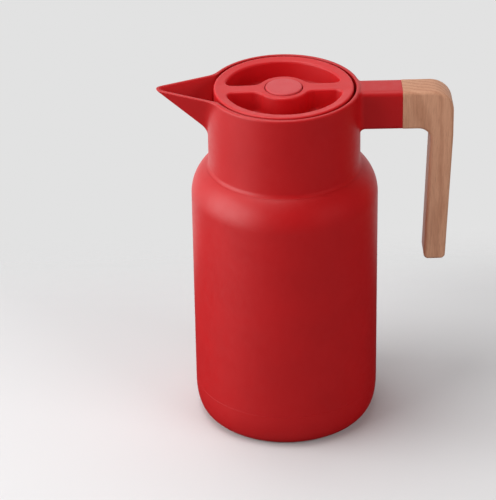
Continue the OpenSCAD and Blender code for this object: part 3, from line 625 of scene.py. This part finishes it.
# Finish of the CAD nodes that are shown as they are
NODE_FINISHES = {
    "grey_silicone": ("foot_pad", "flask_cushion", "flask_gasket"),
    "white_silicone": ("stopper_gasket", "stem_seal", "valve_seal"),
    "inner_red_plastic": ("neck_insert", "stopper_base", "valve_plate"),
    "silvered_glass": ("outer_flask",),
    "silvered_inner_glass": ("inner_flask",),
    "pressed_felt": ("flask_spacers",),
    "stainless_steel": (
        "collar_clip", "grip_screws", "stopper_screws", "valve_stem", "valve_screw",
    ),
}


def finished(name):
    """The material of that name, made on its first use."""
    fill, *values = FINISHES[name]
    return bpy.data.materials.get(name) or new_material(
        name, fill, bpy.context.scene.jug_finish, *values
    )


# -------------------- pieces

def shoulder_seam(s, c):
    """Where the collar meets the shoulder: angle on the shoulder's arc, and (x, z)."""
    centre_x = s.radius - s.shoulder_r
    angle = math.acos((c.radius + c.foot_fillet - centre_x) / (s.shoulder_r + c.foot_fillet))
    return angle, Vector((
        centre_x + s.shoulder_r * cos(angle), s.shoulder_z + s.shoulder_r * sin(angle),
    ))


class JugBaseCover(Operator):
    """Base cover: a shallow cup with a recess for the foot pad"""

    bl_idname = "jug.base_cover"
    bl_label = "Base Cover"
    curve_steps = 20

    def cup(self, s, rim, floor, low_z):
        """Points of the curve from the flat underside up to the seam."""
        return [
            (floor + (rim - floor) * sin(a) ** (2 / s.cup_power),
             s.seam_z - (s.seam_z - low_z) * max(cos(a), 0.0) ** (2 / s.cup_power))
            for a in quarter(self.curve_steps)
        ]

    def execute(self, context):
        s = context.scene.jug_body
        spigot = s.radius - s.wall - s.spigot_gap
        spigot_bore = spigot - s.wall
        floor_z = s.pad_depth + s.wall
        outside = self.cup(s, s.radius, s.foot_radius, s.foot_lift)
        inside = self.cup(s, spigot_bore, s.foot_radius - s.wall, floor_z)
        bm = bmesh.new()
        pen = Pen(bm, 0, s.pad_depth)
        pen.line((s.pad_radius, s.pad_depth), (s.pad_radius, s.foot_lift), *outside[:-1])
        pen.line((s.radius, s.seam_z - s.seam_edge), (s.radius - s.seam_edge, s.seam_z))
        pen.line((spigot, s.seam_z), (spigot, s.seam_z + s.spigot_h))
        pen.line((spigot_bore, s.seam_z + s.spigot_h), *reversed(inside), (0, floor_z))
        turn(bm, s.steps)
        add_piece(bm, "base_cover", "jug", "body_red_plastic")
        return {"FINISHED"}


class JugBodyShell(Operator):
    """Body shell: a straight wall that curves into the shoulder"""

    bl_idname = "jug.body_shell"
    bl_label = "Body Shell"
    arc_steps = 28

    def execute(self, context):
        s, c = context.scene.jug_body, context.scene.jug_collar
        bore = s.radius - s.wall
        centre_x = s.radius - s.shoulder_r
        seam_angle, seam = shoulder_seam(s, c)
        inner_r = s.shoulder_r - s.wall
        land_angle = math.asin((s.land_z - s.shoulder_z) / inner_r)
        bm = bmesh.new()
        pen = Pen(bm, bore, s.seam_z)
        pen.line((s.radius - s.seam_edge, s.seam_z), (s.radius, s.seam_z + s.seam_edge))
        pen.line((s.radius, s.shoulder_z))
        pen.arc(centre_x, s.shoulder_z, seam_angle - s.seam_edge / s.shoulder_r, self.arc_steps)
        mouth = c.radius + s.spigot_gap
        pen.line((mouth + s.seam_edge, seam.y), (mouth, seam.y - s.seam_edge))
        pen.line((mouth, s.land_z))
        pen.line((centre_x + inner_r * cos(land_angle), s.land_z))
        pen.arc(centre_x, s.shoulder_z, -land_angle, self.arc_steps)
        pen.close()
        turn(bm, s.steps)
        add_piece(bm, "body_shell", "jug", "body_red_plastic")
        return {"FINISHED"}


class JugCollar(Operator):
    """Collar: neck, spout and handle bridge in one moulding"""

    bl_idname = "jug.collar"
    bl_label = "Collar"
    warp_range = math.radians(60)  # columns crowd together this near the spout
    warp_power = 1.5  # above 1 crowds them more
    keel_power = 1.03  # above 1 hollows the keel's line
    row_margin = 1.5  # how far below the keel the rows start, in widths of its blend
    blend_margin = 2  # how far below the keel the wall may move, in widths of its blend
    channel_sharpness = 4  # how many times narrower the blend is inside the spout
    lip_steps = 6
    fillet_steps = 7
    seam_lift = 0.1  # gap above the seam's broken edge, as a share of that edge
    hole_margin = 1.2  # room round the bridge in the neck's wall, in bridge fillets
    hole_depth = 0.8  # how far into the rim's rounding the hole may start, as a share of it
    hole_top = math.radians(74.9)  # how far up the rim's rounding the hole reaches

    def neck_profile(self, bm, c, seam):
        """Closed section of the neck's wall, with rows where the spout will be."""
        pen = Pen(bm, c.radius, c.low_z)
        pen.line((c.radius, seam.y - c.joint_edge), (seam.x - c.joint_edge, seam.y))
        fillet_z = seam.y + sqrt(c.foot_fillet ** 2 - (c.radius + c.foot_fillet - seam.x) ** 2)
        start = math.atan2(seam.y - fillet_z, seam.x - c.radius - c.foot_fillet)
        pen.line((seam.x, seam.y + self.seam_lift * c.joint_edge))
        pen.arc(c.radius + c.foot_fillet, fillet_z, -pi - start, self.fillet_steps)
        low = c.rim_z - c.spout_depth - self.row_margin * c.spout_blend
        high = c.rim_z - c.rim_round
        rows = round((high - low) / c.row)
        heights = [low + (high - low) * i / rows for i in range(rows + 1)]
        pen.line(*((c.radius, z) for z in heights))
        pen.arc(c.radius - c.rim_round, high, RIGHT, self.lip_steps)
        inner_round = c.rim_round / 2
        pen.line((c.bore + inner_round, c.rim_z))
        pen.arc(c.bore + inner_round, c.rim_z - inner_round, RIGHT, self.lip_steps // 2)
        pen.line(*((c.bore, z) for z in reversed(heights[:-1])), (c.bore, c.low_z))
        pen.close()

    def spout_radius(self, c, angle, z, wall):
        """Distance from the axis to the spout's skin, at an angle from the spout's middle."""
        foot_z = c.rim_z - c.spout_depth
        rise = (z - foot_z) / c.spout_depth
        reach = rise ** self.keel_power if rise > 0 else rise
        tip = c.radius + (c.spout_reach - c.radius) * reach
        radius = c.keel_radius + (c.tip_radius - c.keel_radius) * ease(rise)
        middle = tip - radius
        radius -= wall
        lean = c.spout_half_angle
        tangent = math.atan2(radius * cos(lean), middle + radius * sin(lean))
        if angle < tangent:
            return middle * cos(angle) + sqrt(max(radius ** 2 - (middle * sin(angle)) ** 2, 0.0))
        return (middle * sin(lean) + radius) / sin(min(angle + lean, RIGHT))

    def shape_spout(self, bm, c):
        """Crowds the columns towards the spout, then pulls its walls out."""
        for vert in bm.verts:
            x, y, z = vert.co
            radius = hypot(x, y)
            angle = abs(math.atan2(y, -x))
            if angle < self.warp_range:
                angle = self.warp_range * (angle / self.warp_range) ** self.warp_power
            wall_share = ease((radius - c.bore) / (c.radius - c.bore))
            outer = inner = 0.0
            if z > c.rim_z - c.spout_depth - self.blend_margin * c.spout_blend:
                skin = self.spout_radius(c, angle, z, 0.0)
                outer = soft_max(c.radius, skin, c.spout_blend) - c.radius
                drop = c.spout_wall if z < c.rim_z - c.rim_round else c.rim_round
                channel = self.spout_radius(c, angle, z - drop / 2, c.spout_wall)
                width = c.spout_blend / self.channel_sharpness
                inner = soft_max(c.bore, channel, width) - c.bore
            radius += wall_share * outer + (1 - wall_share) * inner
            beyond = ease((radius - c.radius) / (c.spout_reach - c.radius))
            height = ease((z - c.rim_z + c.spout_depth) / c.spout_depth)
            vert.co = (
                -radius * cos(angle),
                math.copysign(radius * sin(angle), y),
                z + c.spout_rise * beyond * height,
            )

    def neck_radius(self, c, z):
        """Outside radius of the neck at that height, rim rounding included."""
        over = ease((z - c.rim_z + c.rim_round) / c.rim_round) * c.rim_round
        return c.radius - c.rim_round + sqrt(c.rim_round ** 2 - over ** 2)

    def bridge_section(self, c, y, z):
        """Nearest point of the bridge's rounded section, and the direction away from it."""
        half = c.bridge_width / 2 - c.bridge_round
        core = Vector((
            max(-half, min(half, y)),
            max(c.bridge_under + c.bridge_round, min(c.bridge_top - c.bridge_round, z)),
        ))
        away = (Vector((y, z)) - core).normalized()
        return core + c.bridge_round * away, away

    def add_bridge(self, bm, c):
        """Opens the neck's outer wall and grows the bridge out of the hole."""
        half = c.bridge_width / 2 + self.hole_margin * c.bridge_fillet
        low = c.bridge_under - self.hole_margin * c.bridge_fillet
        high = c.rim_z - c.rim_round * (1 - sin(self.hole_top))
        patch = []
        for face in bm.faces:
            x, y, z = face.calc_center_median()
            outside = hypot(x, y) > c.radius - self.hole_depth * c.rim_round
            if x > 0 and abs(y) < half and low < z < high and outside:
                patch.append(face)
        bmesh.ops.delete(bm, geom=patch, context="FACES")
        loop = open_edges(bm)

        for turned in quarter(self.fillet_steps):

            def on_fillet(co, turned=turned):
                point, away = self.bridge_section(c, co.y, co.z)
                up = ease(away.y) ** 2
                size = c.bridge_fillet + (c.rim_fillet - c.bridge_fillet) * up
                spot = point + size * (1 - sin(turned)) * away
                neck = sqrt(self.neck_radius(c, spot.y) ** 2 - spot.x ** 2)
                return neck + size * (1 - cos(turned)), spot.x, spot.y

            loop = push_out(bm, loop, on_fillet)
        for inset in (0.0, c.joint_edge):

            def at_joint(co, inset=inset):
                point, away = self.bridge_section(c, co.y, co.z)
                spot = point - inset * away
                return c.joint_x - c.joint_edge + inset, spot.x, spot.y

            loop = push_out(bm, loop, at_joint)
        bmesh.ops.edgeloop_fill(bm, edges=loop)

    def execute(self, context):
        c = context.scene.jug_collar
        seam = shoulder_seam(context.scene.jug_body, c)[1]
        bm = bmesh.new()
        self.neck_profile(bm, c, seam)
        turn(bm, c.steps)
        self.shape_spout(bm, c)
        self.add_bridge(bm, c)
        face_outwards(bm)
        add_piece(bm, "collar", "jug", "body_red_plastic")
        return {"FINISHED"}


class JugGrip(Operator):
    """Beech grip: a bent outline, extruded, rounded and bored for its screws"""

    bl_idname = "jug.grip"
    bl_label = "Grip"
    corner_steps = 10
    edge_steps = 6
    bore_steps = 32
    least_area = 50 * MM * MM  # faces smaller than this aren't the arm's underside
    straight_down = -0.99  # nor are those whose normal's Z is above this

    def outline(self, bm, c, g):
        """Side face of the grip with its corners rounded."""
        corners = [
            (c.joint_x, c.bridge_under, 0.0),
            (g.back_x - g.width, c.bridge_under, g.inner_corner),
            (g.back_x - g.lean - g.end_width, g.end_z, g.end_corner),
            (g.back_x - g.lean, g.end_z, g.end_corner),
            (g.back_x, g.bend_z, 2 * g.outer_corner),
            (g.back_x, c.bridge_top, g.outer_corner),
            (c.joint_x, c.bridge_top, 0.0),
        ]
        verts = [bm.verts.new((x, -c.bridge_width / 2, z)) for x, z, _ in corners]
        bm.faces.new(verts)
        for vert, (_, _, radius) in zip(verts, corners):
            if radius:
                ahead, behind = (edge.other_vert(vert).co - vert.co for edge in vert.link_edges)
                offset = radius / math.tan(ahead.angle(behind) / 2)
                bevel(bm, [vert], offset, "VERTICES", self.corner_steps)

    def bore_screws(self, bm, c, g):
        """Replaces the flat underside by a face with two blind bores."""
        flat = [
            face for face in bm.faces
            if face.normal.z < self.straight_down and face.calc_area() > self.least_area
        ]
        under = min(flat, key=lambda face: face.calc_center_median().x)
        rim = list(under.edges)
        bmesh.ops.delete(bm, geom=[under], context="FACES_ONLY")
        for i in range(2):
            place = Matrix.Translation((g.screw_x + i * g.screw_pitch, 0, c.bridge_under))
            bore = bmesh.ops.create_circle(
                bm, segments=self.bore_steps, radius=g.screw_bore, matrix=place
            )["verts"]
            mouth = list({edge for vert in bore for edge in vert.link_edges})
            rim += mouth
            raised = push_out(bm, mouth, lambda co: co + Vector((0, 0, g.bore_depth)))
            bmesh.ops.edgeloop_fill(bm, edges=raised)
        bmesh.ops.triangle_fill(bm, edges=rim, use_beauty=True, normal=(0, 0, -1))

    def execute(self, context):
        c, g = context.scene.jug_collar, context.scene.jug_grip
        bm = bmesh.new()
        self.outline(bm, c, g)
        made = bmesh.ops.extrude_face_region(bm, geom=bm.faces[:])["geom"]
        far_side = [part for part in made if isinstance(part, BMVert)]
        bmesh.ops.translate(bm, verts=far_side, vec=(0, c.bridge_width, 0))
        face_outwards(bm)
        long_edges, joint_edges = [], []
        for edge in bm.edges:
            a, b = (vert.co for vert in edge.verts)
            if max(abs(a.x - c.joint_x), abs(b.x - c.joint_x)) < WELD:
                joint_edges.append(edge)
            elif abs(a.y - b.y) < WELD:
                long_edges.append(edge)
        bevel(bm, long_edges, g.edge_round, "EDGES", self.edge_steps)
        end_face = min(bm.faces, key=lambda face: face.calc_center_median().x)
        bevel(bm, list(end_face.edges), c.joint_edge, "EDGES", 1)
        self.bore_screws(bm, c, g)
        face_outwards(bm)
        add_piece(bm, "handle_grip", "jug", "oiled_beech")
        return {"FINISHED"}


class JugLid(Operator):
    """Lid: a round cap with two finger recesses beside a bar and a hub"""

    bl_idname = "jug.lid"
    bl_label = "Lid"
    flat_ring = 0.3 * MM  # flat border between a rounding and the top face
    bore_sharpness = 3  # how many times smaller the bore's rounding is than the lid's
    arc_steps = 6
    corner_steps, rim_steps, hub_steps = 12, 96, 48  # round each recess
    draft = 0.8 * MM  # how far the recess walls lean in

    def recess_outline(self, bm, lid, grow):
        """Face of one finger recess in the XZ plane, to be laid flat later."""
        half_bar = lid.bar_width / 2 - grow
        corner = lid.recess_corner + grow
        outer = lid.recess_radius + grow
        hub = lid.hub_radius - grow
        fillet = lid.hub_fillet + grow
        corner_z, fillet_z = half_bar + corner, half_bar + fillet
        outer_x = sqrt((outer - corner) ** 2 - corner_z ** 2)
        hub_x = sqrt((hub + fillet) ** 2 - fillet_z ** 2)
        outer_turn = math.atan2(corner_z, outer_x)
        hub_turn = math.atan2(fillet_z, hub_x)
        pen = Pen(bm, hub_x, half_bar)
        pen.line((outer_x, half_bar))
        pen.arc(outer_x, corner_z, RIGHT + outer_turn, self.corner_steps)
        pen.arc(0, 0, pi - 2 * outer_turn, self.rim_steps)
        pen.arc(-outer_x, corner_z, RIGHT + outer_turn, self.corner_steps)
        pen.line((-hub_x, half_bar))
        pen.arc(-hub_x, fillet_z, RIGHT - hub_turn, self.corner_steps)
        pen.arc(0, 0, 2 * hub_turn - pi, self.hub_steps)
        pen.arc(hub_x, fillet_z, RIGHT - hub_turn, self.corner_steps)
        weld(bm)

    def sink_recess(self, bm, lid, face):
        """Steps the recess face down through lip, wall and foot curve."""
        lip, foot = lid.recess_lip, lid.recess_foot
        stations = [(self.flat_ring, 0.0)]
        for a in quarter(self.arc_steps)[1:]:
            stations.append((self.flat_ring + lip * sin(a), lip * (1 - cos(a))))
        wall_foot = self.flat_ring + lip + self.draft
        for a in quarter(self.arc_steps):
            stations.append(
                (wall_foot + foot * (1 - cos(a)), lid.recess_depth - foot * (1 - sin(a)))
            )
        inset = depth = 0.0
        for next_inset, next_depth in stations:
            bmesh.ops.inset_individual(
                bm, faces=[face], thickness=next_inset - inset, depth=depth - next_depth,
                use_even_offset=True,
            )
            inset, depth = next_inset, next_depth

    def execute(self, context):
        lid = context.scene.jug_lid
        bm = bmesh.new()
        edge = lid.edge_round
        pen = Pen(bm, lid.radius, lid.deck_z)
        pen.line((lid.radius, lid.top_z - edge))
        pen.arc(lid.radius - edge, lid.top_z - edge, RIGHT, self.arc_steps)
        pen.line((lid.radius - edge - self.flat_ring, lid.top_z))
        edge /= self.bore_sharpness
        pen = Pen(bm, lid.bore + edge + self.flat_ring, lid.top_z)
        pen.line((lid.bore + edge, lid.top_z))
        pen.arc(lid.bore + edge, lid.top_z - edge, RIGHT, self.arc_steps // 2)
        pen.line((lid.bore, lid.bore_z))
        turn(bm, lid.steps)

        plan = bmesh.new()
        self.recess_outline(plan, lid, lid.recess_lip + self.flat_ring)
        recess = bmesh.ops.edgeloop_fill(plan, edges=plan.edges)["faces"][0]
        bmesh.ops.rotate(plan, verts=plan.verts, matrix=Matrix.Rotation(-RIGHT, 3, "X"))
        bmesh.ops.translate(plan, verts=plan.verts, vec=(0, 0, lid.top_z))
        recess.normal_update()
        if recess.normal.z < 0:
            recess.normal_flip()
        self.sink_recess(plan, lid, recess)
        weld(plan)
        mesh = new_mesh(plan, "recess_plan")
        for angle in (0.0, pi):
            before = set(bm.verts)
            bm.from_mesh(mesh)
            added = [v for v in bm.verts if v not in before]
            bmesh.ops.rotate(bm, verts=added, matrix=Matrix.Rotation(angle, 3, "Z"))
        bpy.data.meshes.remove(mesh)
        rims = [e for e in open_edges(bm) if min(v.co.z for v in e.verts) > lid.top_z - WELD]
        bmesh.ops.triangle_fill(bm, edges=rims, use_beauty=True, normal=(0, 0, 1))
        face_outwards(bm)
        top = max(bm.faces, key=lambda face: face.calc_center_median().z)
        if top.normal.z < 0:
            bmesh.ops.reverse_faces(bm, faces=bm.faces)
        for vert in bm.verts:
            inwards = lid.radius - hypot(vert.co.x, vert.co.y)
            vert.co.z -= lid.dish * ease(inwards / (lid.radius - lid.recess_radius))
        bmesh.ops.solidify(bm, geom=bm.faces[:], thickness=lid.wall)
        bmesh.ops.rotate(bm, verts=bm.verts, matrix=Matrix.Rotation(lid.angle, 3, "Z"))
        add_piece(bm, "stopper_cap", "stopper", "lid_red_plastic")
        return {"FINISHED"}


class JugButton(Operator):
    """Push button: a round cap with a skirt and a stop"""

    bl_idname = "jug.push_button"
    bl_label = "Push Button"
    dish = 0.15 * MM  # how far the middle of the button is hollowed
    half_way = 0.6  # share of that depth half-way out to the edge
    arc_steps = 6
    skirt_wall = 1.6 * MM
    top_wall = 2.0 * MM  # thickness of the button over the spring

    def execute(self, context):
        lid = context.scene.jug_lid
        edge = lid.button_edge
        bore = lid.button_radius - self.skirt_wall
        bm = bmesh.new()
        pen = Pen(bm, 0, lid.button_z - self.dish)
        pen.line((lid.button_radius / 2, lid.button_z - self.half_way * self.dish))
        pen.line((lid.button_radius - edge, lid.button_z))
        pen.arc(lid.button_radius - edge, lid.button_z - edge, -RIGHT, self.arc_steps)
        pen.line((lid.button_radius, lid.skirt_z), (lid.skirt_radius, lid.skirt_z))
        pen.line((lid.skirt_radius, lid.button_foot_z), (bore, lid.button_foot_z))
        pen.line((bore, lid.button_z - self.top_wall), (0, lid.button_z - self.top_wall))
        turn(bm, lid.steps)
        add_piece(bm, "push_button", "button", "button_red_plastic")
        return {"FINISHED"}


class JugSpring(Operator):
    """Button spring: a wire swept up a helix"""

    bl_idname = "jug.button_spring"
    bl_label = "Button Spring"
    wire_radius = 0.6 * MM
    coil_radius = 8.6 * MM
    gap = 0.15 * MM  # between the wire and the faces that it stands between
    turns = 6
    turn_steps = 24
    wire_steps = 8
    travel = 4.0 * MM  # of the button
    button_top = 3.0 * MM  # room over the spring, from the top of the button

    def execute(self, context):
        lid = context.scene.jug_lid
        low = lid.deck_z + self.gap + self.wire_radius
        high = lid.button_z - self.button_top - self.gap - self.wire_radius
        steps = self.turns * self.turn_steps
        bm = bmesh.new()
        upright = Matrix.Rotation(RIGHT, 4, "X")
        bmesh.ops.create_circle(
            bm, segments=self.wire_steps, radius=self.wire_radius,
            matrix=Matrix.Translation((self.coil_radius, 0, low)) @ upright,
        )
        bmesh.ops.spin(
            bm, geom=bm.verts[:] + bm.edges[:], cent=(0, 0, 0), axis=(0, 0, 1),
            dvec=(0, 0, (high - low) / steps), angle=math.tau * self.turns, steps=steps,
        )
        bmesh.ops.holes_fill(bm, edges=open_edges(bm), sides=self.wire_steps)
        face_outwards(bm)
        spring = add_piece(bm, "button_spring", "stopper", "stainless_steel")
        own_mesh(spring)
        return {"FINISHED"}


class JugInnerParts(Operator):
    """Finishes for the flask, seals, screws and valve"""

    bl_idname = "jug.inner_parts"
    bl_label = "Inner Parts"

    def execute(self, context):
        for finish, names in NODE_FINISHES.items():
            for name in names:
                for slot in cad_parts[name].material_slots:
                    slot.material = finished(finish)
        return {"FINISHED"}


# -------------------- stage

class JugStage(Operator):
    """Table, backdrop, lamps and camera"""

    bl_idname = "jug.stage"
    bl_label = "Stage"
    sheet = 2.0  # size of the table's sheet in metres
    fades = (  # axis of each side of the table, where it starts to fade, and where it ends
        (0, -0.55, -0.90), (0, 0.55, 0.90), (1, -0.50, -0.90), (1, 0.135, 0.240),
    )
    window_side = -0.35  # how far the bright side of the backdrop is turned to the left
    backdrop_turn = 0.15, 0.90  # where gloss starts to see the backdrop, and sees it in full
    backdrop_gloss = 1.5  # how much brighter the backdrop is to gloss than to the camera
    front_gloss = 0.05  # how bright the room in front is to gloss, as a share of the backdrop
    table_gloss = 0.95  # how much darker the table is to gloss than to the camera
    table_bounce = 0.45  # how bright the table is to the light that it throws back
    middle = 0.0, 0.0, 0.12  # point that the lamps shine at
    lamps = (  # name, place, width, height, and whether gloss mirrors it
        ("key", (-1.12, -0.34, 0.44), 1.3, 1.1, True),
        ("top", (-0.25, 0.10, 1.35), 1.0, 0.8, True),
        ("fill", (1.00, -0.78, 0.50), 0.8, 0.8, False),
    )

    def table_paper(self, tree, shader, rgb):
        """Pale paper with a faint fibre, which fades into the backdrop on every side."""
        fibre = noise(tree, 900.0, 3.0, 0.6)
        shade = blend_colours(tree, limits(tree, fibre, 0.3, 0.7), rgba(rgb), rgba(rgb, 0.985))
        looked_at, glossy = sight(tree)
        shade = blend_colours(tree, looked_at, rgba(rgb, self.table_bounce), shade)
        darker = maths(tree, "MULTIPLY", glossy, self.table_gloss)
        shade = blend_colours(tree, darker, shade, rgba((0.0, 0.0, 0.0)))
        place = node(tree, "SeparateXYZ", {0: object_place(tree)}).outputs
        alpha = 1.0
        for axis, start, end in self.fades:
            side = node(
                tree, "MapRange", {"Value": place[axis], "From Min": end, "From Max": start},
                interpolation_type="SMOOTHSTEP",
            )
            alpha = maths(tree, "MULTIPLY", side.outputs[0], alpha)
        feed(tree, shader, fibre, 0.02 * MM, 0.3, Specular_IOR_Level=0.1, Alpha=alpha,
             Base_Color=shade, Roughness=limits(tree, fibre, 0.3, 0.7, 0.85, 0.95))

    def add_table(self, rgb):
        """A flat sheet of paper that isn't part of the jug."""
        bm = bmesh.new()
        bmesh.ops.create_grid(bm, x_segments=1, y_segments=1, size=self.sheet / 2)
        mesh = new_mesh(bm, "table")
        mesh.materials.append(new_material("table_paper", self.table_paper, rgb))
        new_object("table", mesh)

    def add_lamp(self, name, power, place, width, height, mirrored):
        """A soft box that shines from place onto the jug, and that gloss may mirror."""
        data = bpy.data.lights.new(name, "AREA")
        data.shape = "RECTANGLE"
        data.size, data.size_y, data.energy = width, height, power
        lamp = new_object(name, data)
        lamp.location = place
        lamp.visible_glossy = mirrored
        ray = Vector(self.middle) - Vector(place)
        lamp.rotation_euler = ray.to_track_quat("-Z", "Y").to_euler()

    def add_camera(self, studio):
        """Camera at its distance and angles from the target, with its roll."""
        azimuth, elevation = studio.camera_azimuth, studio.camera_elevation
        back = Vector((
            sin(azimuth) * cos(elevation),
            -cos(azimuth) * cos(elevation),
            sin(elevation),
        ))
        data = bpy.data.cameras.new("studio_camera")
        data.lens, data.sensor_width, data.sensor_fit = studio.lens, 36.0, "AUTO"
        data.clip_start, data.clip_end = 0.05, 20.0
        camera = new_object("studio_camera", data)
        level = back.to_track_quat("Z", "Y").to_matrix()
        turned = level @ Matrix.Rotation(studio.camera_roll, 3, "Z")
        place = Vector(studio.camera_target) + studio.camera_distance * back
        camera.matrix_world = Matrix.Translation(place) @ turned.to_4x4()
        bpy.context.scene.camera = camera

    def add_sky(self, strength, backdrop):
        """Even room light, with a pale backdrop for the camera, glass and gloss from behind."""
        world = bpy.data.worlds.new("studio_sky")
        bpy.context.scene.world = world
        world.use_nodes = True
        tree = world.node_tree
        looked_at, glossy = sight(tree)
        towards = node(tree, "SeparateXYZ", {0: node(tree, "TexCoord").outputs["Generated"]})
        x, y, _ = towards.outputs
        turned = maths(tree, "MULTIPLY_ADD", x, self.window_side, y)
        behind = limits(tree, turned, *self.backdrop_turn)
        shade = blend_colours(tree, looked_at, rgba((strength,) * 3), rgba(backdrop))
        mirrored = blend_colours(
            tree, behind, rgba(backdrop, self.front_gloss), rgba(backdrop, self.backdrop_gloss)
        )
        shade = blend_colours(tree, glossy, shade, mirrored)
        tree.links.new(shade, tree.nodes["Background"].inputs["Color"])

    def execute(self, context):
        studio = context.scene.jug_studio
        self.add_table(studio.floor_tone)
        for name, *lamp in self.lamps:
            self.add_lamp(name + "_box", getattr(studio, name), *lamp)
        self.add_sky(studio.sky, studio.backdrop)
        self.add_camera(studio)
        context.scene.view_settings.view_transform = "Standard"
        return {"FINISHED"}


# -------------------- the add-on

PIECES = (
    JugBaseCover, JugBodyShell, JugCollar, JugGrip, JugLid, JugButton, JugSpring, JugInnerParts,
    JugStage,
)


class JugPanel(Panel):
    """Lists the jug's pieces and sizes in the sidebar"""

    bl_idname = "VIEW3D_PT_jug"
    bl_label = "Serving Jug"
    bl_space_type = "VIEW_3D"
    bl_region_type = "UI"
    bl_category = "Jug"

    def draw(self, context):
        for piece in PIECES:
            self.layout.operator(piece.bl_idname)
        for name in SETTINGS:
            settings = getattr(context.scene, name)
            box = self.layout.box()
            for key in settings.bl_rna.properties.keys():
                if key not in {"rna_type", "name"}:
                    box.prop(settings, key)


SETTINGS = {
    "jug_body": JugBodySizes,
    "jug_collar": JugCollarSizes,
    "jug_grip": JugGripSizes,
    "jug_lid": JugLidSizes,
    "jug_finish": JugFinish,
    "jug_studio": JugStudio,
}
CLASSES = (*SETTINGS.values(), *PIECES, JugPanel)


def register():
    """Makes the classes and the scene's settings known to Blender."""
    for made in CLASSES:
        bpy.utils.register_class(made)
    for name, settings in SETTINGS.items():
        setattr(bpy.types.Scene, name, PointerProperty(type=settings))


def unregister():
    """Takes back what register did."""
    for name in SETTINGS:
        delattr(bpy.types.Scene, name)
    for made in reversed(CLASSES):
        bpy.utils.unregister_class(made)


def main():
    """Builds every piece and the stage."""
    register()
    for piece in PIECES:
        group_name, call = piece.bl_idname.split(".")
        getattr(getattr(bpy.ops, group_name), call)()


if __name__ == "__main__":
    main()
